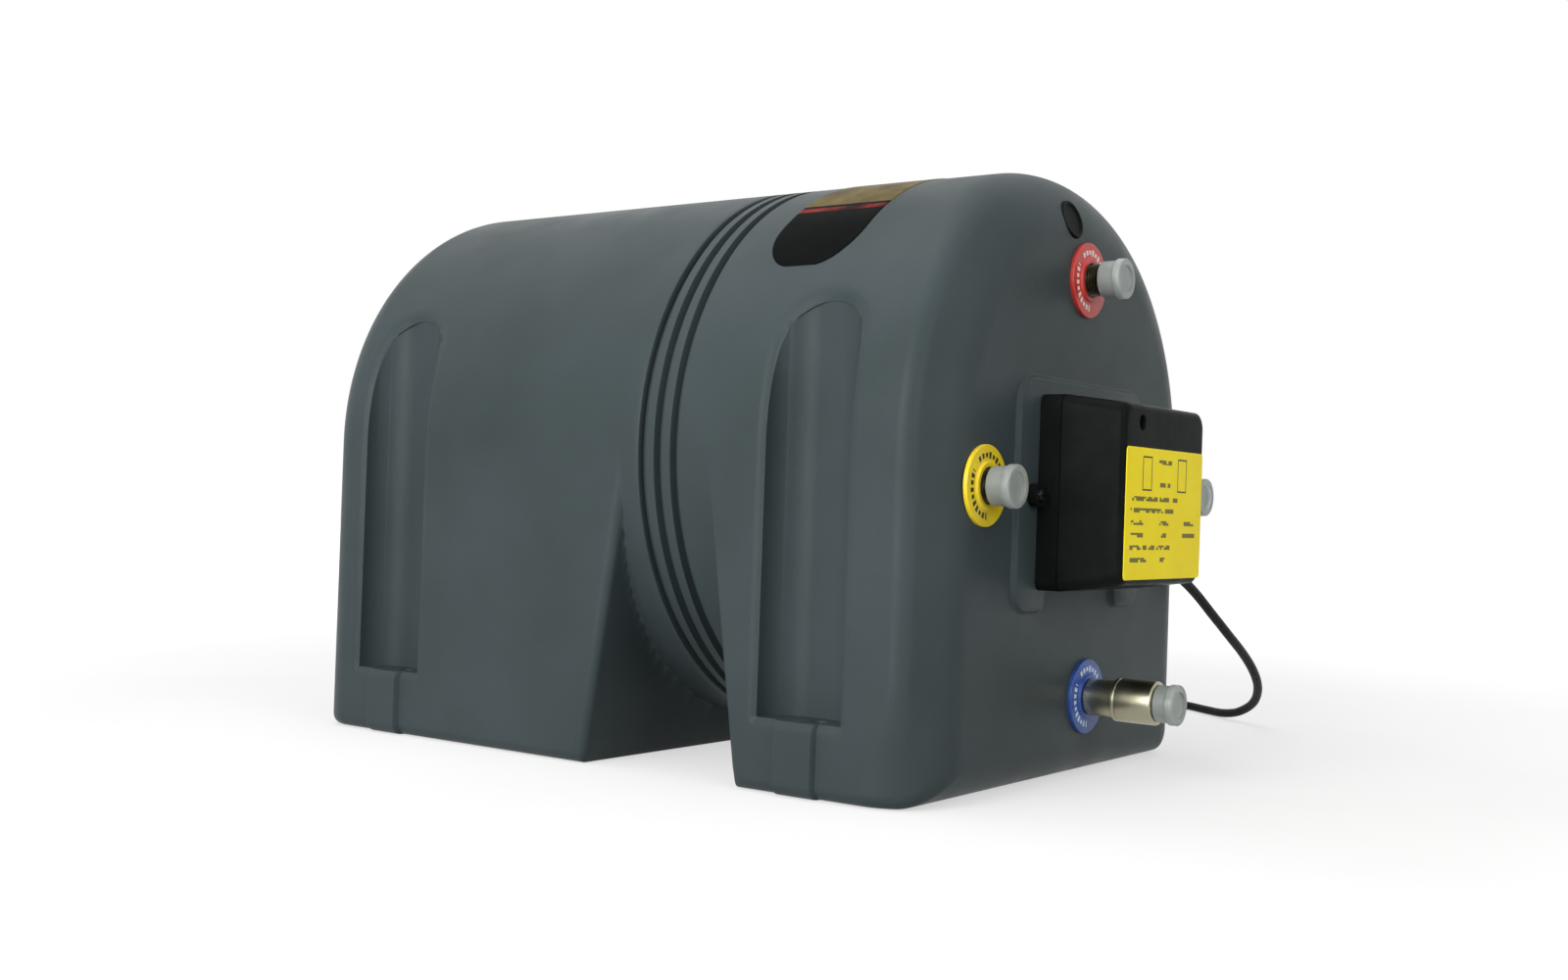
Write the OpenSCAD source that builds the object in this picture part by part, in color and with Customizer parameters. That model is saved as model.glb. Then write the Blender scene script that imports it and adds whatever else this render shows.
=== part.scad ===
// Horizontal caravan water heater: a foam-filled moulded casing on two feet round a steel tank,
// with an electric element behind the terminal box and a coil for engine coolant.
// Millimetres. Z is up, the fittings face -Y, the floor is z = 0.
// The origin lies on the floor in the middle of the four fixing holes.

/* [Casing] */
// Width across the flat sides
casing_w = 370; // [320:1:420]
// Height of the drum above the floor
drum_clear = 20; // [16:0.5:26]
// Length from front face to rear face
casing_l = 510; // [470:1:560]
// Wall of the moulded shells
casing_wall = 4; // [3:0.5:6]
// Rounding of the front edge
front_round = 45; // [30:1:55]
// Rounding of the rear edge
rear_round = 26; // [15:1:40]
// Rounding under the front foot
toe_round = 25; // [12:1:26]
// Rounding under the rear foot
heel_round = 8; // [6:0.5:16]
// Rounding along the bottom side edges
side_round = 8; // [6:0.5:14]

/* [Foot gap and grooves] */
// Middle of the gap between the feet, along the length
gap_y = -62.5; // [-80:0.5:-50]
// Width of the gap at the floor
gap_w = 121; // [100:1:135]
// Lean of the inner faces of the feet, degrees
gap_lean = 8.6; // [6:0.1:10]
// Middle of the rearmost groove, where the shells meet
seam_y = -44.5; // [-47:0.5:-42]
// Spacing of the grooves
groove_pitch = 13; // [11:0.5:15]
// Width of a groove
groove_w = 6; // [4:0.5:8]
// Depth of a groove
groove_d = 3.5; // [2:0.5:3.5]
// Thickness of the lip that joins the shells
lip_t = 3; // [2:0.5:5]
// Reach of the lip into the rear shell
lip_l = 12; // [8:1:16]

/* [Side recesses] */
// Distance of a fixing hole from the middle, along the length
recess_y = 177; // [165:1:185]
// Shift of the recesses to the rear of these holes
recess_shift = 8; // [0:0.5:10]
// Width of a recess
recess_w = 60; // [50:1:70]
// Casing and foam left between a recess and the tank
recess_back = 9; // [8:0.5:14]
// Rounding between the floor of a recess and its sides
recess_round = 22; // [10:0.5:24]
// Height of the ledge at its bottom
ledge_z = 44; // [30:1:60]
// Height where its round top starts
recess_top = 262; // [240:1:275]
// Width of the raised strip below a ledge
strip_w = 30; // [24:1:44]
// Thickness of that strip
strip_t = 5; // [3:0.5:8]
// Distance of a fixing hole from the flat side
hole_in = 13; // [11:0.5:15]
// Diameter of a fixing hole
hole_d = 9; // [7:0.5:10]

/* [Badge and filling plug] */
// Middle of the badge, along the length
badge_y = -135; // [-150:1:-128]
// Width of the badge
badge_w = 70; // [50:1:76]
// Angle from the top to each badge end, degrees
badge_a = 53; // [40:1:56]
// Corner rounding of the badge
badge_r = 24; // [10:1:30]
// Depth of the badge seat
badge_d = 1.5; // [1:0.1:2]
// Angle of the filling plug from the top, degrees
plug_a = -7; // [-10:0.5:10]
// Slope of the front rounding under the filling plug, degrees
plug_slope = 17; // [14:0.5:20]
// Radius of the filling plug head
plug_r = 12.5; // [10:0.5:13]
// Depth of the seat under the filling plug head
plug_d = 2.6; // [2:0.1:3]

/* [Tank] */
// Tank axis below the middle of the drum
tank_drop = 20; // [16:0.5:21]
// Foam and casing beside the tank
foam_t = 35; // [35:0.5:45]
// Sheet thickness
tank_wall = 1.5; // [1.2:0.1:3]
// Length of the barrel
tank_l = 380; // [340:1:384]
// Height of a dished end
dome_h = 36; // [28:1:38]
// Length of the skirt of a dished end
skirt_l = 14; // [8:1:20]

/* [Water fittings] */
// Outer diameter of a threaded nipple
nipple_d = 20.96; // [20.9:0.01:21.0]
// Bore of a nipple
nipple_bore = 16; // [12:0.5:17]
// Hot outlet below the top of the tank
hot_inset = 15; // [14:0.5:22]
// Cold inlet above the bottom of the tank
cold_inset = 18; // [16:0.5:22]
// Sideways offset of the cold inlet
cold_x = 16; // [0:0.5:18]
// Engine ports from the sides of the tank
engine_inset = 24; // [22:0.5:28]
// Reach of the hot nipple in front of the casing
hot_out = 24; // [22:0.5:40]
// Reach of the left engine nipple in front of the casing
left_out = 19; // [17:0.5:36]
// Reach of the right engine nipple in front of the casing
right_out = 31; // [17:0.5:36]
// Reach of the cold nipple in front of the casing
cold_out = 24; // [22:0.5:26]
// Reach of the nipples behind the rim of the dished end
nipple_in = 12; // [10:0.5:16]
// Length of the pickup pipe behind the hot outlet
pickup_l = 60; // [40:1:80]
// Length of its mouth that points down
pickup_drop = 6; // [3:0.5:7]
// Length of the spreader pipe behind the cold inlet
spreader_l = 220; // [150:1:280]
// Radius of a colour collar
collar_r = 24; // [20:0.5:26]
// Thickness of a colour collar
collar_t = 2.5; // [1.5:0.1:4]
// Radius of the raised hub of a collar
hub_r = 14; // [13:0.5:17]
// Height of that hub
hub_t = 1.5; // [0.5:0.1:3]
// Outer diameter of a transport cap
cap_d = 24.2; // [24:0.1:28]
// End of a transport cap in front of its thread
cap_end = 3; // [2.5:0.1:4]
// Depth of the dish in that end
cap_dish = 1.4; // [0.5:0.1:1.6]
// Height of the rim round the end of a cap
cap_rim = 1.4; // [0.5:0.1:2]
// Length of that rim
cap_rim_l = 6; // [3:0.5:8]
// Bare thread between the hot collar and its cap
hot_bare = 8; // [0:0.5:10]
// Bare thread between an engine collar and its cap
engine_bare = 3; // [0:0.5:6]

/* [Check valve] */
// Length of the neck that screws onto the cold nipple
neck_l = 19; // [12:0.5:22]
// Radius of the neck
neck_r = 11.8; // [11.5:0.1:13]
// Radius of the ring behind the barrel
ring_r = 14.5; // [13:0.5:17]
// Length of that ring
ring_l = 3; // [2:0.5:5]
// Radius of the barrel
barrel_r = 15; // [14:0.5:18]
// Length of the barrel
barrel_l = 25; // [23:0.5:40]
// Length of the outlet nipple
spout_l = 10; // [8:0.5:22]
// Radius of the valve seat bore
seat_r = 6.5; // [5:0.1:7]
// Radius of the poppet head
poppet_r = 8.6; // [8:0.1:9]
// Thickness of the poppet head
poppet_t = 3.4; // [2.5:0.1:5]
// Radius of the poppet stem
stem_r = 1.95; // [1.5:0.05:2.5]
// Reach of the stem behind its guide
stem_out = 2; // [1:0.5:4]
// Thickness of the stem guide
guide_t = 2.5; // [2:0.1:4]
// Wire thickness of the valve spring
spring_wire = 1.0; // [0.8:0.1:1.2]
// Mean radius of the valve spring
spring_r = 4.2; // [3.5:0.1:5]
// Turns of the valve spring
spring_turns = 5; // [4:1:6]

/* [Heating group] */
// Outer radius of the flange and its boss
flange_r = 44; // [42:0.5:45]
// Inner radius of the boss
boss_in = 33; // [31:0.5:34]
// Reach of the boss in front of the casing
boss_out = 7; // [6:0.5:9]
// Thickness of the gasket
gasket_t = 3; // [2:0.1:3.5]
// Thickness of the flange
flange_t = 6; // [5:0.5:7]
// Number of flange bolts
bolt_n = 6; // [4:1:8]
// Radius of a flange bolt shank
bolt_r = 2.45; // [2:0.05:3]
// Radius of a bolt head across its corners
bolt_head_r = 4.6; // [4:0.1:5]
// Height of a bolt head
bolt_head_h = 3.5; // [3:0.1:4]
// Length of a bolt shank
bolt_l = 20; // [16:1:26]
// Radius of the element rod
rod_r = 4; // [3:0.1:4.5]
// Half spacing of the element rods
rod_x = 16; // [12:0.5:18]
// Element rods below the tank axis
rod_drop = 11; // [8:0.5:13]
// Reach of the element into the tank, from the casing face
rod_l = 345; // [250:1:380]
// Thermostat pocket above the tank axis
pocket_rise = 22; // [18:0.5:24]
// Radius of the thermostat pocket
pocket_r = 5; // [4.5:0.1:6]
// Length of the pocket inside the tank
pocket_l = 170; // [120:1:220]
// Wall of the pocket
pocket_wall = 1.4; // [1:0.1:2]
// Gap between the bolt heads and the thermostat
pocket_head = 1.25; // [1:0.05:2]
// Rim of the pocket on the flange
pocket_rim = 2; // [1:0.1:3]
// Anode below the tank axis
anode_drop = 24; // [23:0.5:25]
// Radius of the anode
anode_r = 7; // [5:0.1:7.5]
// Length of the anode
anode_l = 240; // [150:1:300]
// Length of the element pins in front of the flange
pin_out = 15; // [12:0.5:16]

/* [Engine coil] */
// Middle of the coil tube inside the barrel
coil_inset = 46; // [42:1:54]
// Diameter of the coil tube
coil_tube = 18; // [14:0.5:20]
// Turns of the coil
coil_turns = 5; // [4:1:6]
// Length of the coil along the tank
coil_l = 230; // [180:1:250]
// Middle of the return leg inside the barrel
return_inset = 84; // [80:1:90]

/* [Terminal box] */
// Gap between the raised panel behind the box and the engine collars
panel_gap = 14; // [10:1:20]
// Lower edge of the panel below the tank axis
panel_down = 75; // [71:1:85]
// Upper edge of the panel above the tank axis
panel_up = 68; // [65:1:75]
// Corner rounding of the panel
panel_r = 18; // [8:1:24]
// Width of the lobes beside the notch in its lower edge
lobe_w = 38; // [24:0.5:44]
// Height of that notch
notch_h = 13; // [8:0.5:14]
// Height of the panel
panel_t = 3; // [2:0.1:4]
// Half width of the box at its base
box_x = 64; // [60:0.5:68]
// Lower edge of the box below the tank axis
box_down = 62; // [59:0.5:65]
// Upper edge of the box above the tank axis
box_up = 58; // [55:0.5:61]
// Corner rounding of the box
box_r = 6; // [3:0.5:10]
// Depth of the base tray
tray_d = 14; // [13:0.5:16]
// Depth of the cover
cover_d = 40.5; // [36:0.5:44]
// Taper of the cover at the sides
taper_x = 3; // [2:0.5:7]
// Taper of the cover at the bottom
taper_z0 = 6; // [2:0.5:8]
// Taper of the cover at the top
taper_z1 = 5; // [2:0.5:6]
// Wall of the tray
tray_wall = 3; // [2:0.1:3.5]
// Wall of the cover
cover_wall = 2.5; // [2:0.1:3]
// Lip of the tray inside the cover
tray_lip = 1.2; // [1:0.1:2]
// Fixing lugs from the middle plane
lug_x = 71; // [70:0.5:74]
// Fixing lugs below the tank axis
lug_down = 4; // [-5:0.5:15]
// Radius of a lug
lug_r = 7; // [6:0.5:8]
// Thickness of a lug
lug_t = 5.4; // [4:0.1:7]
// Radius of a case screw shank
screw_r = 1.9; // [1.5:0.05:2.2]
// Radius of a case screw head
screw_head_r = 3.8; // [3.4:0.1:4.2]
// Height of a case screw head
screw_head_h = 2.9; // [2:0.1:3]
// Cover screw from the middle plane
post_x = -36; // [-40:0.5:-33]
// Cover screw above the tank axis
post_up = 42; // [39:0.5:43]
// Radius of the screw post
post_r = 4.5; // [4:0.1:5]
// Depth of the screw recess in the cover
cup_d = 6; // [4:0.1:8]
// Half width of the label
label_x = 58; // [40:0.5:60]
// Lower edge of the label below the tank axis
label_down = 53; // [45:0.5:58]
// Upper edge of the label above the tank axis
label_up = 27; // [5:0.5:31]
// Thickness of the label
label_t = 0.5; // [0.3:0.1:0.8]

/* [Controls] */
// Half width of the thermostat
stat_x = 19; // [16:0.5:22]
// Height of the thermostat
stat_h = 34; // [30:0.5:36]
// Depth of the thermostat
stat_d = 21; // [18:0.5:22]
// Dial and button from the middle plane
dial_x = 8; // [6:0.5:9]
// Radius of the dial
dial_r = 8; // [6:0.5:8.5]
// Height of the dial
dial_h = 5; // [3:0.5:6]
// Radius of the dial stem
dial_stem = 2; // [1.5:0.1:2.5]
// Radius of the reset button
button_r = 2.5; // [2:0.1:3]
// Height of the reset button
button_h = 3; // [2:0.1:4]
// Room behind the reset button to push it in
button_room = 2.5; // [2:0.1:3]
// Depth of the guides for stem and button
guide_d = 7; // [5:0.5:9]
// Left side of the terminal block
block_x = 46; // [45.5:0.5:47]
// Width of the terminal block
block_w = 12; // [9:0.5:13]
// Lower end of the terminal block below the tank axis
block_down = 34; // [29:0.5:36]
// Length of the terminal block
block_l = 64; // [50:1:66]
// Depth of the terminal block
block_d = 19; // [14:0.5:24]
// Number of terminals
block_n = 4; // [3:1:5]

/* [Mains cable] */
// Diameter of the cable
cable_d = 7; // [6:0.1:7.4]
// Cable gland below the tank axis
gland_down = 47; // [45:0.5:51]
// Radius of the gland nut
gland_r = 6; // [5:0.1:6.4]
// Length of the gland nut
gland_l = 8; // [6:0.5:12]
// Length of the tapered boot that guides the cable
boot_l = 28; // [22:1:34]
// Outer radius of the cable coil
wrap_r = 48; // [46:1:60]
// Loops in each layer of the cable coil
wrap_n = 2; // [1:1:3]
// Middle of the cable coil, to the side
wrap_x = 330; // [320:1:360]
// Middle of the cable coil, along the length
wrap_y = 120; // [112:1:128]
// Radius of the plug body
plug_body_r = 18.5; // [17:0.5:20]
// Length of the plug body
plug_body_l = 26; // [20:1:34]
// Length of the plug neck
plug_neck_l = 16; // [10:1:24]
// Radius of a plug pin
pin_r = 2.4; // [2:0.1:2.4]
// Length of a plug pin
pin_l = 19; // [17:0.5:19]
// Spacing of the plug pins
pin_pitch = 19; // [18:0.5:20]

/* [Fits] */
// Clearance between pieces that lie in each other
fit = 0.3; // [0.2:0.05:0.5]
// Clearance of a welded or pressed joint
weld_fit = 0.1; // [0.05:0.05:0.2]
// Radial clearance of a running stem
run_fit = 0.05; // [0.03:0.01:0.1]
// Radial clearance of a screw in its hole
screw_fit = 0.15; // [0.1:0.05:0.3]
// Radial clearance round a pipe in the casing
pipe_fit = 1; // [0.5:0.1:2]
// Clearance of a pull-off cap on its thread
cap_fit = 0.4; // [0.3:0.05:0.6]

/* [Drawing] */
// Piece to draw

/* [Hidden] */
$fn = 96;

// Casing
arch_r = casing_w / 2;
arch_z = arch_r + drum_clear;
casing_h = arch_z + arch_r;
front_y = -casing_l / 2;
rear_y = casing_l / 2;
overcut = 1;
recess_x = arch_r - foam_t + recess_back;
hole_x = arch_r - hole_in;
lip_r = arch_r - casing_wall - fit;
lip_in = arch_r - casing_wall - lip_t;
band_y0 = seam_y - 2 * groove_pitch - groove_w;
band_y1 = seam_y + groove_w / 2 + lip_l;

// Tank
tank_r = arch_r - foam_t;
tank_z = arch_z - tank_drop;
tank_y = tank_l / 2;
dome_base = tank_r - tank_wall - weld_fit;
dome_r = (dome_base * dome_base + dome_h * dome_h) / (2 * dome_h);

// Fittings
nipple_r = nipple_d / 2;
hot_z = tank_z + tank_r - hot_inset;
cold_z = tank_z - tank_r + cold_inset;
engine_x = tank_r - engine_inset;
coil_ring = tank_r - coil_inset;
return_ring = tank_r - return_inset;
collar_y = front_y - collar_t - hub_t;
nipple_y = -tank_y + nipple_in;

// Check valve, along y from rear to front
neck_y = collar_y - cap_fit;
ring_y = neck_y - neck_l;
barrel_y = ring_y - ring_l;
spout_y = barrel_y - barrel_l;
mouth_y = spout_y - spout_l;
cold_end = front_y - cold_out;
guide_y = cold_end - fit - guide_t;
seat_y = spout_y + casing_wall;
chamber_r = nipple_r - 2 * cap_fit;
poppet_y = seat_y + weld_fit;

// Heating group, along y from rear to front
boss_y = front_y - boss_out;
gasket_y = boss_y - gasket_t;
flange_y = gasket_y - flange_t;
bolt_ring = (flange_r + boss_in) / 2;
stat_y = flange_y - bolt_head_h - pocket_head;
stat_front = stat_y - stat_d;
rod_z = tank_z - rod_drop;
pocket_z = tank_z + pocket_rise;
anode_z = tank_z - anode_drop;

// Terminal box, along y from rear to front
panel_x = engine_x - collar_r - panel_gap;
notch_x = panel_x - lobe_w;
panel_z0 = tank_z - panel_down;
panel_z1 = tank_z + panel_up;
box_z0 = tank_z - box_down;
box_z1 = tank_z + box_up;
lug_z = tank_z - lug_down;
post_z = tank_z + post_up;
label_z0 = tank_z - label_down;
label_z1 = tank_z + label_up;
block_z = tank_z - block_down;
gland_z = tank_z - gland_down;
panel_y = front_y - panel_t;
tray_y = panel_y - weld_fit;
tray_floor = tray_y - tray_wall;
cover_y = tray_y - tray_d;
cover_front = cover_y - cover_d;
cup_y = cover_front + cup_d;
post_end = cup_y + cover_wall + fit;
gland_y = tray_y - tray_d / 2;

// Cable
cable_r = cable_d / 2;
lift = 1.4;
wrap_z = cable_r + lift;
wrap_pitch = cable_d + 1;
layer_z = cable_d + 0.6;
wrap_turn = 360 * wrap_n;
tail_y = wrap_y + 58;
plug_y = tail_y + plug_neck_l;
plug_z = plug_body_r;

// Half outline of a drum of radius r between y0 and y1 with edge roundings ra and rb
module bar_outline(r, y0, y1, ra, rb) {
  translate([0, y0]) square([r - ra, y1 - y0 - rb]);
  translate([0, y0 + ra]) square([r, y1 - y0 - ra - rb]);
  translate([0, y0 + ra]) square([r - rb, y1 - y0 - ra]);
  translate([r - ra, y0 + ra]) circle(ra);
  translate([r - rb, y1 - rb]) circle(rb);
}

// Rounded rectangle from corner a to corner b
module round_rect(a, b, r) {
  translate([a[0] + r, a[1]]) square([b[0] - a[0] - 2 * r, b[1] - a[1]]);
  translate([a[0], a[1] + r]) square([b[0] - a[0], b[1] - a[1] - 2 * r]);
  for (x = [a[0] + r, b[0] - r], y = [a[1] + r, b[1] - r]) translate([x, y]) circle(r, $fn = 48);
}

// Turns a flat outline (y, z) into a bar across the width, from x0 to x1
module across(x0, x1) {
  translate([x0, 0, 0]) rotate([90, 0, 90]) linear_extrude(x1 - x0) children();
}

// Turns a flat outline (x, z) into a bar along the length, from y0 to y1
module along(y0, y1) {
  translate([0, y1, 0]) rotate([90, 0, 0]) linear_extrude(y1 - y0) children();
}

// Round bar along the length
module rod(x, z, r, y0, y1) {
  translate([x, y0, z]) rotate([-90, 0, 0]) cylinder(r = r, h = y1 - y0);
}

// Round pipe along the length
module pipe(x, z, r, bore, y0, y1) {
  difference() {
    rod(x, z, r, y0, y1);
    rod(x, z, bore, y0 - overcut, y1 + overcut);
  }
}

// Tube swept along points p, with a direction across each point in q
function unit(v) = v / norm(v);
function heading(p, i) = unit(p[min(i + 1, len(p) - 1)] - p[max(i - 1, 0)]);
function ring(p, q, r, n, i) = let (t = heading(p, i), s = unit(cross(t, q[i])), b = cross(s, t))
  [for (k = [0:n - 1]) p[i] + r * (cos(360 * k / n) * s + sin(360 * k / n) * b)];
module sweep(p, q, r, n) {
  m = len(p);
  points = [for (i = [0:m - 1]) each ring(p, q, r, n, i)];
  sides = [for (i = [0:m - 2], k = [0:n - 1])
    [i * n + k, (i + 1) * n + k, (i + 1) * n + (k + 1) % n, i * n + (k + 1) % n]];
  ends = [[for (k = [0:n - 1]) k], [for (k = [0:n - 1]) m * n - 1 - k]];
  polyhedron(points, concat(sides, ends), convexity = 8);
}

// Round curve through points p, with n steps from each to the next
function spot(p, i) = p[max(0, min(len(p) - 1, i))];
function blend(a, b, c, d, t) = 0.5 * (2 * b + (c - a) * t + (2 * a - 5 * b + 4 * c - d) * t * t
  + (3 * b - a - 3 * c + d) * t * t * t);
function curve(p, n) = concat([for (i = [0:len(p) - 2], k = [0:n - 1])
  blend(spot(p, i - 1), spot(p, i), spot(p, i + 1), spot(p, i + 2), k / n)], [p[len(p) - 1]]);

// Casing form, shrunk by g on every side
module drum(g) {
  translate([0, 0, arch_z]) rotate([-90, 0, 0]) rotate_extrude($fn = 180)
    bar_outline(arch_r - g, front_y + g, rear_y - g, front_round - g, rear_round - g);
}

module plan_outline(g) {
  for (m = [0, 1]) mirror([m, 0])
    bar_outline(arch_r - g, front_y + g, rear_y - g, front_round - g, rear_round - g);
}

module side_outline(g) {
  half = gap_w / 2 + g / cos(gap_lean);
  rise = arch_z * tan(gap_lean);
  below = overcut * tan(gap_lean);
  difference() {
    union() {
      translate([front_y + g, toe_round]) square([casing_l - 2 * g, arch_z - toe_round]);
      translate([front_y + toe_round, g])
        square([casing_l - toe_round - heel_round, arch_z - g]);
      translate([front_y + toe_round, heel_round])
        square([casing_l - toe_round - g, arch_z - heel_round]);
      translate([front_y + toe_round, toe_round]) circle(toe_round - g);
      translate([rear_y - heel_round, heel_round]) circle(heel_round - g);
    }
    polygon([[gap_y - half - below, -overcut], [gap_y + half + below, -overcut],
      [gap_y + half - rise - below, arch_z + overcut],
      [gap_y - half + rise + below, arch_z + overcut]]);
  }
}

module end_outline(g) {
  translate([-arch_r + g, side_round]) square([casing_w - 2 * g, arch_z - side_round]);
  translate([-arch_r + side_round, g]) square([casing_w - 2 * side_round, arch_z - g]);
  for (s = [-1, 1]) translate([s * (arch_r - side_round), side_round]) circle(side_round - g);
}

module casing_form(g) {
  drum(g);
  intersection() {
    linear_extrude(arch_z) plan_outline(g);
    across(-casing_w, casing_w) side_outline(g);
    along(-casing_l, casing_l) end_outline(g);
  }
}

// Side recesses of one end, grown by g: a slot seen from the side, a scoop seen from above
function recess_mid(end) = end * recess_y + recess_shift;
module recesses(end, g) {
  mid = recess_mid(end);
  half = recess_w / 2 + g;
  for (m = [0, 1]) mirror([m, 0, 0]) intersection() {
    across(recess_x - g, casing_w) {
      translate([mid - half, ledge_z - g]) square([2 * half, recess_top - ledge_z + g]);
      translate([mid, recess_top]) circle(half);
    }
    linear_extrude(casing_h)
      round_rect([recess_x - g, mid - half], [2 * casing_w, mid + half], recess_round + g);
  }
}

module strips(end) {
  for (m = [0, 1]) mirror([m, 0, 0])
    translate([arch_r - casing_wall, recess_mid(end) - strip_w / 2, 0])
      cube([casing_wall + strip_t, strip_w, ledge_z]);
}

module fixing_bars(end, r) {
  for (s = [-1, 1]) translate([s * hole_x, end * recess_y, -overcut])
    cylinder(r = r, h = ledge_z + 2 * overcut, $fn = 48);
}

module end_box(end) {
  y0 = end < 0 ? -casing_l : seam_y + groove_w / 2;
  y1 = end < 0 ? seam_y - groove_w / 2 : casing_l;
  translate([-casing_w, y0, -overcut]) cube([2 * casing_w, y1 - y0, casing_h + 2 * overcut]);
}

// Hollow shell of one end: -1 front, 1 rear
module shell(end) {
  difference() {
    union() {
      intersection() {
        difference() {
          casing_form(0);
          recesses(end, 0);
          difference() {
            casing_form(casing_wall);
            recesses(end, casing_wall);
          }
        }
        end_box(end);
      }
      strips(end);
      intersection() {
        fixing_bars(end, hole_d / 2 + casing_wall);
        translate([-casing_w, -casing_l, 0]) cube([2 * casing_w, 2 * casing_l, ledge_z]);
      }
    }
    fixing_bars(end, hole_d / 2);
  }
}

// Places a piece on the front rounding with its outer side towards -Y
module on_rounding() {
  translate([0, 0, arch_z]) rotate([0, plug_a, 0])
    translate([0, front_y + front_round, arch_r - front_round]) rotate([-plug_slope, 0, 0])
      translate([0, -front_round, 0]) children();
}

module badge_form(r0, r1, g) {
  bx = arch_r * sin(badge_a) - g;
  bw = badge_w / 2 - g;
  intersection() {
    pipe(0, arch_z, r1, r0, badge_y - badge_w, badge_y + badge_w);
    translate([0, 0, arch_z]) linear_extrude(casing_h)
      round_rect([-bx, badge_y - bw], [bx, badge_y + bw], badge_r - g);
  }
}

module rear_shell() {
  color("#4d585b") shell(1);
}

module front_shell() {
  color("#4d585b") difference() {
    union() {
      shell(-1);
      pipe(0, arch_z, arch_r - casing_wall + weld_fit, lip_in, band_y0, seam_y - groove_w / 2);
      pipe(0, arch_z, lip_r, lip_in, band_y0, band_y1);
      along(panel_y, front_y + weld_fit) difference() {
        round_rect([-panel_x, panel_z0], [panel_x, panel_z1], panel_r);
        translate([-notch_x, panel_z0 - overcut]) square([2 * notch_x, notch_h + overcut]);
      }
    }
    for (i = [1, 2]) pipe(0, arch_z, casing_w, arch_r - groove_d,
      seam_y - i * groove_pitch - groove_w / 2, seam_y - i * groove_pitch + groove_w / 2);
    badge_form(arch_r - badge_d, casing_w, 0);
    port_bars(nipple_r + pipe_fit);
    rod(0, tank_z, flange_r + pipe_fit, -casing_l, front_y + 2 * casing_wall);
    for (s = [-1, 1]) rod(s * lug_x, lug_z, screw_r + screw_fit, -casing_l, front_y + 2 * casing_wall);
    on_rounding() {
      rod(0, 0, plug_r + fit, -2 * plug_r, plug_d);
      rod(0, 0, plug_r - plug_d + fit, 0, 2 * casing_wall);
    }
  }
}

// Bars through all four ports
module port_bars(r) {
  for (s = [-1, 1]) rod(s * engine_x, tank_z, r, -casing_l, nipple_y);
  rod(0, hot_z, r, -casing_l, nipple_y);
  rod(cold_x, cold_z, r, -casing_l, nipple_y);
}

module tank_form(g) {
  rod(0, tank_z, tank_r + g, -tank_y - g, tank_y + g);
  for (m = [0, 1]) mirror([0, m, 0]) intersection() {
    translate([0, -tank_y - dome_h + dome_r, tank_z]) sphere(dome_r + g, $fn = 180);
    rod(0, tank_z, tank_r, -casing_l, -tank_y);
  }
}

module insulation() {
  g = casing_wall + fit;
  color("#e0cf9a") difference() {
    casing_form(g);
    for (end = [-1, 1]) {
      recesses(end, g);
      fixing_bars(end, hole_d / 2 + g);
    }
    pipe(0, arch_z, casing_w, lip_in - fit, band_y0 - fit, band_y1 + fit);
    tank_form(fit);
    port_bars(nipple_r + pipe_fit);
    rod(0, tank_z, flange_r + pipe_fit, -casing_l, -tank_y);
    on_rounding() rod(0, 0, plug_r, -2 * plug_r, 3 * casing_wall);
  }
}

module tank_barrel() {
  color("#b9bcbd") pipe(0, tank_z, tank_r, tank_r - tank_wall, -tank_y, tank_y);
}

// Dished end at the rear of the tank
module dome() {
  translate([0, tank_y, tank_z]) rotate([-90, 0, 0]) rotate_extrude($fn = 180) {
    intersection() {
      difference() {
        translate([0, dome_h - dome_r]) circle(dome_r, $fn = 180);
        translate([0, dome_h - dome_r]) circle(dome_r - tank_wall, $fn = 180);
      }
      square([dome_base, 2 * dome_h]);
    }
    translate([dome_base - tank_wall, -skirt_l]) square([tank_wall, skirt_l + weld_fit]);
  }
}

module tank_front_dome() {
  color("#b9bcbd") difference() {
    mirror([0, 1, 0]) dome();
    port_bars(nipple_r + weld_fit);
    rod(0, tank_z, flange_r + weld_fit, -casing_l, 0);
  }
}

module tank_rear_dome() {
  color("#b9bcbd") dome();
}

module bolt_spots() {
  for (i = [0:bolt_n - 1]) translate([0, 0, tank_z]) rotate([0, 360 * i / bolt_n + 180 / bolt_n, 0])
    translate([bolt_ring, 0, 0]) children();
}

module element_boss() {
  color("#a9acad") difference() {
    pipe(0, tank_z, flange_r, boss_in, boss_y, -tank_y - dome_h / 2);
    bolt_spots() rod(0, 0, bolt_r + screw_fit, boss_y - overcut, flange_y + bolt_l + overcut);
  }
}

module flange_gasket() {
  color("#2b2b2b") difference() {
    pipe(0, tank_z, flange_r, boss_in, gasket_y, boss_y);
    bolt_spots() rod(0, 0, bolt_r + screw_fit, gasket_y - overcut, boss_y + overcut);
  }
}

module element_flange() {
  color("#c4a35a") difference() {
    rod(0, tank_z, flange_r, flange_y, gasket_y);
    bolt_spots() rod(0, 0, bolt_r + screw_fit, flange_y - overcut, gasket_y + overcut);
    for (s = [-1, 1]) rod(s * rod_x, rod_z, rod_r + weld_fit, flange_y - overcut, gasket_y + overcut);
    rod(0, pocket_z, pocket_r + weld_fit, flange_y - overcut, gasket_y + overcut);
    rod(0, anode_z, bolt_r + weld_fit, flange_y - overcut, gasket_y + overcut);
  }
}

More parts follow.
